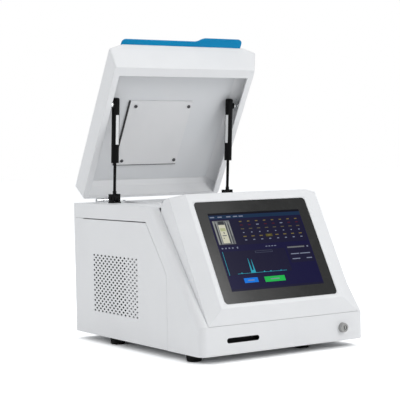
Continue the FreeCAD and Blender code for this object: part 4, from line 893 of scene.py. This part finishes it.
def round_screw(name, radius, height):
    """A domed screw head with a socket, upright at the origin, resting on z = 0."""
    piece = begin(name, bpy.ops.mesh.primitive_cylinder_add, vertices=24, radius=radius,
                  depth=height, location=(0, 0, height / 2))
    pick(piece, "EDGE", lambda edge: all(vertex.co.z > 0 for vertex in edge.verts)
         and len([face for face in edge.link_faces if abs(face.normal.z) < ASIDE]) == 1)
    bpy.ops.mesh.bevel(offset=height * SCREW_DOME, segments=3)
    pick(piece, "FACE", lambda face: face.normal.z > SQUARE)
    bpy.ops.mesh.inset(thickness=radius * SOCKET_RIM)
    extrude(0, 0, -height * SOCKET_DEEP)
    bpy.ops.transform.resize(value=(SOCKET_NARROW, SOCKET_NARROW, 1.0))
    close()
    bpy.ops.object.transform_apply()
    return piece


class ANALYZER_OT_screws(bpy.types.Operator):
    """Put detailed screw heads on the shield, the stage and the rear panel"""

    bl_idname = "analyzer.screws"
    bl_label = "Screws"

    def execute(self, context):
        for node, label, body, look, outward in SCREW_SETS:
            turn = outward.to_track_quat("Z", "Y").to_matrix().to_4x4()
            model = round_screw(label, context.scene.analyzer_sizes.screw_head, SCREW_RISE)
            for index, (middle, _, _) in enumerate(islands(node)):
                sunk = Matrix.Translation(middle - outward * SCREW_SUNK)
                copy = copy_piece(model, f"{label}_{index + 1}", sunk @ turn)
                settle(copy, look, body)
                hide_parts(node)
            bpy.data.objects.remove(model)
        return {"FINISHED"}


# The dust filter behind the vents, near-black so that the holes show dark: painted shade of the
# housing's inside.
# Its middle and size along and up the side, how far it lies under the panel's face, and its border
# as a share of it.
SHADE_FILTER_MIDDLE, SHADE_FILTER_SIZE = (0.104, 0.129), (0.154, 0.130)
SHADE_FILTER_SUNK, SHADE_FILTER_BORDER = 0.0003, 0.03


class ANALYZER_OT_vent_shade_filter(bpy.types.Operator):
    """Lay an open, near-black dust filter behind the vents of the left side, as painted shade in
    the holes
    """

    bl_idname = "analyzer.vent_filter"
    bl_label = "Vent filter"

    def execute(self, context):
        depth = context.scene.analyzer_sizes.shade_filter_depth
        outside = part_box("left_side_panel")[0][0]
        piece = begin_box("Vent_filter", (outside + SHADE_FILTER_SUNK + depth / 2, *SHADE_FILTER_MIDDLE),
                          (depth, *SHADE_FILTER_SIZE), False)
        pick(piece, "FACE", lambda face: face.normal.x < -SQUARE)
        bpy.ops.mesh.inset(thickness=SHADE_FILTER_BORDER)
        close()
        settle(piece, "filter", "frame")
        return {"FINISHED"}


# The fan guard: radius of its outer ring, middle and length of its spokes, and where its
# eyes lie and their radius.
GUARD_RADIUS, SPOKE_PLACE, SPOKE_LENGTH = 0.0405, 0.030, 0.032
EYE_PLACE, EYE_RADIUS = 0.0475, 0.0026


class ANALYZER_OT_fan_guard(bpy.types.Operator):
    """Fit a wire guard over the fan's outlet in the rear panel"""

    bl_idname = "analyzer.fan_guard"
    bl_label = "Fan guard"

    def execute(self, context):
        sizes = context.scene.analyzer_sizes
        wire = sizes.guard_wire / 2
        low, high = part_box("fan_frame")
        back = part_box("rear_panel")[1][1]
        centre = Vector(((low[0] + high[0]) / 2, back + wire, (low[2] + high[2]) / 2))
        piece = begin("Fan_guard", self.ring, centre=centre, radius=GUARD_RADIUS, wire=wire,
                      segments=48, sides=8)
        for ring in range(1, sizes.guard_rings):
            self.ring(centre, GUARD_RADIUS * ring / sizes.guard_rings, wire, 36, 6)
        for index in range(4):
            angle = math.pi / 4 + index * math.pi / 2
            way = Vector((math.cos(angle), 0, math.sin(angle)))
            middle = centre + way * SPOKE_PLACE + Vector((0, wire, 0))
            bpy.ops.mesh.primitive_cylinder_add(vertices=8, radius=wire, depth=SPOKE_LENGTH,
                                                location=middle,
                                                rotation=(0, math.pi / 2 - angle, 0))
            self.ring(centre + way * EYE_PLACE, EYE_RADIUS, wire, 16, 6)
        close()
        settle(piece, "black oxide", "frame", 60)
        return {"FINISHED"}

    def ring(self, centre, radius, wire, segments, sides):
        """Adds a ring of wire that stands against the rear panel."""
        bpy.ops.mesh.primitive_torus_add(major_radius=radius, minor_radius=wire,
                                         major_segments=segments, minor_segments=sides,
                                         location=centre, rotation=(math.pi / 2, 0, 0))


# The feet: how they narrow downwards, their rounding, their rim as a share, and their hollow.
FOOT_TAPER, FOOT_ROUND, FOOT_RIM, FOOT_HOLLOW = 0.93, 0.003, 0.4, 0.004


class ANALYZER_OT_feet(bpy.types.Operator):
    """Replace the feet with rounded rubber ones, hollow below"""

    bl_idname = "analyzer.feet"
    bl_label = "Feet"

    def execute(self, context):
        places = islands("feet")
        _, low, high = places[0]
        radius = (high.x - low.x) / 2
        tall = high.z - low.z
        model = begin("Foot", bpy.ops.mesh.primitive_cone_add, vertices=32,
                      radius1=radius * FOOT_TAPER, radius2=radius, depth=tall,
                      location=(0, 0, tall / 2))
        pick(model, "EDGE", lambda edge: all(vertex.co.z < 0 for vertex in edge.verts)
             and any(abs(face.normal.z) < ASIDE for face in edge.link_faces))
        bpy.ops.mesh.bevel(offset=FOOT_ROUND, segments=4)
        pick(model, "FACE", lambda face: face.normal.z < -SQUARE)
        bpy.ops.mesh.inset(thickness=radius * FOOT_RIM)
        extrude(0, 0, FOOT_HOLLOW)
        close()
        bpy.ops.object.transform_apply()
        for index, (middle, low, high) in enumerate(places):
            place = Matrix.Translation((middle.x, middle.y, low.z))
            foot = copy_piece(model, f"Foot_{index + 1}", place)
            settle(foot, "rubber", "frame")
            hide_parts("feet")
        bpy.data.objects.remove(model)
        return {"FINISHED"}


# The camera of the photograph: where it stands, which way it looks, and its lens.
CAMERA_PLACE = Vector((-1.41254, -2.075991, 0.3749))
CAMERA_YAW, CAMERA_PITCH, CAMERA_ROLL = (math.radians(angle) for angle in (33.69, -2.17, -1.11))
CAMERA_LENS = 114.616

# The soft boxes: name, place, the point that each is aimed at, side and power.
LIGHTS = (("Key light", (1.1, -2.2, 1.6), (0.0, -0.1, 0.25), 1.2, 16.5),
          ("Low light", (-1.3, -1.9, 0.3), (0.1, 0.15, 0.40), 0.8, 1.7),
          ("Side light", (-2.3, 0.7, 1.4), (0.0, 0.0, 0.25), 1.6, 9.2),
          ("Top light", (0.2, 0.4, 2.4), (0.0, 0.0, 0.2), 1.6, 9.5),
          ("Glass light", (1.427, -2.05, 2.10), (0.0, -0.15, 0.2), 1.0, 3.6))

# The floor's white as light sees it, and as the camera does: as white as the photograph's
# ground, and still with a shadow.
FLOOR_LIT, FLOOR_SEEN = (0.95, 0.95, 0.95, 1), (1.70, 1.70, 1.70, 1)

# The surround: its tint, the way in which it is dim, and how its strength falls there.
SKY_TINT, SKY_DIM_WAY = (0.96, 0.98, 1.0, 1), (-0.64, -0.77, 0.0)
SKY_FALL = {"From Min": 0.60, "From Max": 0.95, "To Min": 0.66, "To Max": 0.16}


class ANALYZER_OT_stage(bpy.types.Operator):
    """Set the pale floor, the soft lights and the camera"""

    bl_idname = "analyzer.stage"
    bl_label = "Studio"

    def execute(self, context):
        scene = context.scene
        clear_selection()
        bpy.ops.mesh.primitive_plane_add(size=30, location=(0, 0, 0))
        floor = bpy.context.object
        floor.name = "Floor"
        floor.data.materials.append(self.floor_white())
        for name, place, target, size, power in LIGHTS:
            clear_selection()
            bpy.ops.object.light_add(type="AREA", location=place)
            lamp = bpy.context.object
            lamp.name = name
            lamp.data.energy = power
            lamp.data.size = size
            away = Vector(place) - Vector(target)
            lamp.rotation_euler = away.to_track_quat("Z", "Y").to_euler()
        self.sky(scene)
        camera = bpy.data.objects.new("Camera", bpy.data.cameras.new("Camera"))
        camera.data.lens = CAMERA_LENS
        camera.data.clip_end = 60.0
        camera.matrix_world = (Matrix.Translation(CAMERA_PLACE)
                               @ Matrix.Rotation(-CAMERA_YAW, 4, "Z")
                               @ Matrix.Rotation(math.pi / 2 + CAMERA_PITCH, 4, "X")
                               @ Matrix.Rotation(CAMERA_ROLL, 4, "Z"))
        scene.collection.objects.link(camera)
        scene.camera = camera
        scene.view_settings.view_transform = "Standard"
        return {"FINISHED"}

    def floor_white(self):
        """White that is brighter in the camera's own rays."""
        white = bpy.data.materials.new("Pale floor")
        white.use_nodes = True
        shader = white.node_tree.nodes["Principled BSDF"]
        shader.inputs["Roughness"].default_value = 0.9
        shader.inputs["Specular IOR Level"].default_value = 0.0
        board = Board(white.node_tree, None)
        path = board.add("ShaderNodeLightPath").outputs["Is Camera Ray"]
        tone = board.mix(path, FLOOR_LIT, FLOOR_SEEN)
        white.node_tree.links.new(tone, shader.inputs["Base Color"])
        return white

    def sky(self, scene):
        """A white surround that lights less from behind the camera, as a studio does."""
        world = scene.world or bpy.data.worlds.new("Studio")
        scene.world = world
        world.use_nodes = True
        tree = world.node_tree
        tree.nodes.clear()
        board = Board(tree, "Generated")
        facing = board.add("ShaderNodeVectorMath", {0: board.place, 1: SKY_DIM_WAY},
                           operation="DOT_PRODUCT").outputs["Value"]
        dim = board.add("ShaderNodeMapRange", {"Value": facing, **SKY_FALL}).outputs["Result"]
        lamp = board.add("ShaderNodeBackground", {"Color": SKY_TINT, "Strength": dim})
        back = board.add("ShaderNodeBackground", {"Color": (1, 1, 1, 1), "Strength": 1.0})
        path = board.add("ShaderNodeLightPath").outputs["Is Camera Ray"]
        join = board.add("ShaderNodeMixShader", {0: path, 1: lamp.outputs[0],
                                                 2: back.outputs[0]})
        board.add("ShaderNodeOutputWorld", {"Surface": join.outputs[0]})


STEPS = (ANALYZER_OT_finishes, ANALYZER_OT_screen_picture, ANALYZER_OT_glass_rim,
         ANALYZER_OT_grip_sheet, ANALYZER_OT_strut_labels, ANALYZER_OT_strut_heads,
         ANALYZER_OT_shield_shadow_strip, ANALYZER_OT_screws, ANALYZER_OT_vent_shade_filter,
         ANALYZER_OT_fan_guard, ANALYZER_OT_feet, ANALYZER_OT_stage)


class ANALYZER_PT_panel(bpy.types.Panel):
    """Lists the settings and the steps of the dressing"""

    bl_idname = "ANALYZER_PT_panel"
    bl_label = "Gold analyzer"
    bl_space_type = "VIEW_3D"
    bl_region_type = "UI"
    bl_category = "Analyzer"

    def draw(self, context):
        for settings in (context.scene.analyzer_finishes, context.scene.analyzer_sizes):
            for name in settings.__annotations__:
                self.layout.prop(settings, name)
        for step in STEPS:
            self.layout.operator(step.bl_idname)


CLASSES = (AnalyzerFinishes, AnalyzerSizes, *STEPS, ANALYZER_PT_panel)


def register():
    for item in CLASSES:
        bpy.utils.register_class(item)
    bpy.types.Scene.analyzer_finishes = PointerProperty(type=AnalyzerFinishes)
    bpy.types.Scene.analyzer_sizes = PointerProperty(type=AnalyzerSizes)


def unregister():
    del bpy.types.Scene.analyzer_sizes
    del bpy.types.Scene.analyzer_finishes
    for item in reversed(CLASSES):
        bpy.utils.unregister_class(item)


def main():
    register()
    bpy.ops.analyzer.finishes()
    bpy.ops.analyzer.screen_picture()
    bpy.ops.analyzer.glass_rim()
    bpy.ops.analyzer.grip_sheet()
    bpy.ops.analyzer.strut_labels()
    bpy.ops.analyzer.strut_heads()
    bpy.ops.analyzer.shield_seal()
    bpy.ops.analyzer.screws()
    bpy.ops.analyzer.vent_filter()
    bpy.ops.analyzer.fan_guard()
    bpy.ops.analyzer.feet()
    bpy.ops.analyzer.stage()


if __name__ == "__main__":
    main()
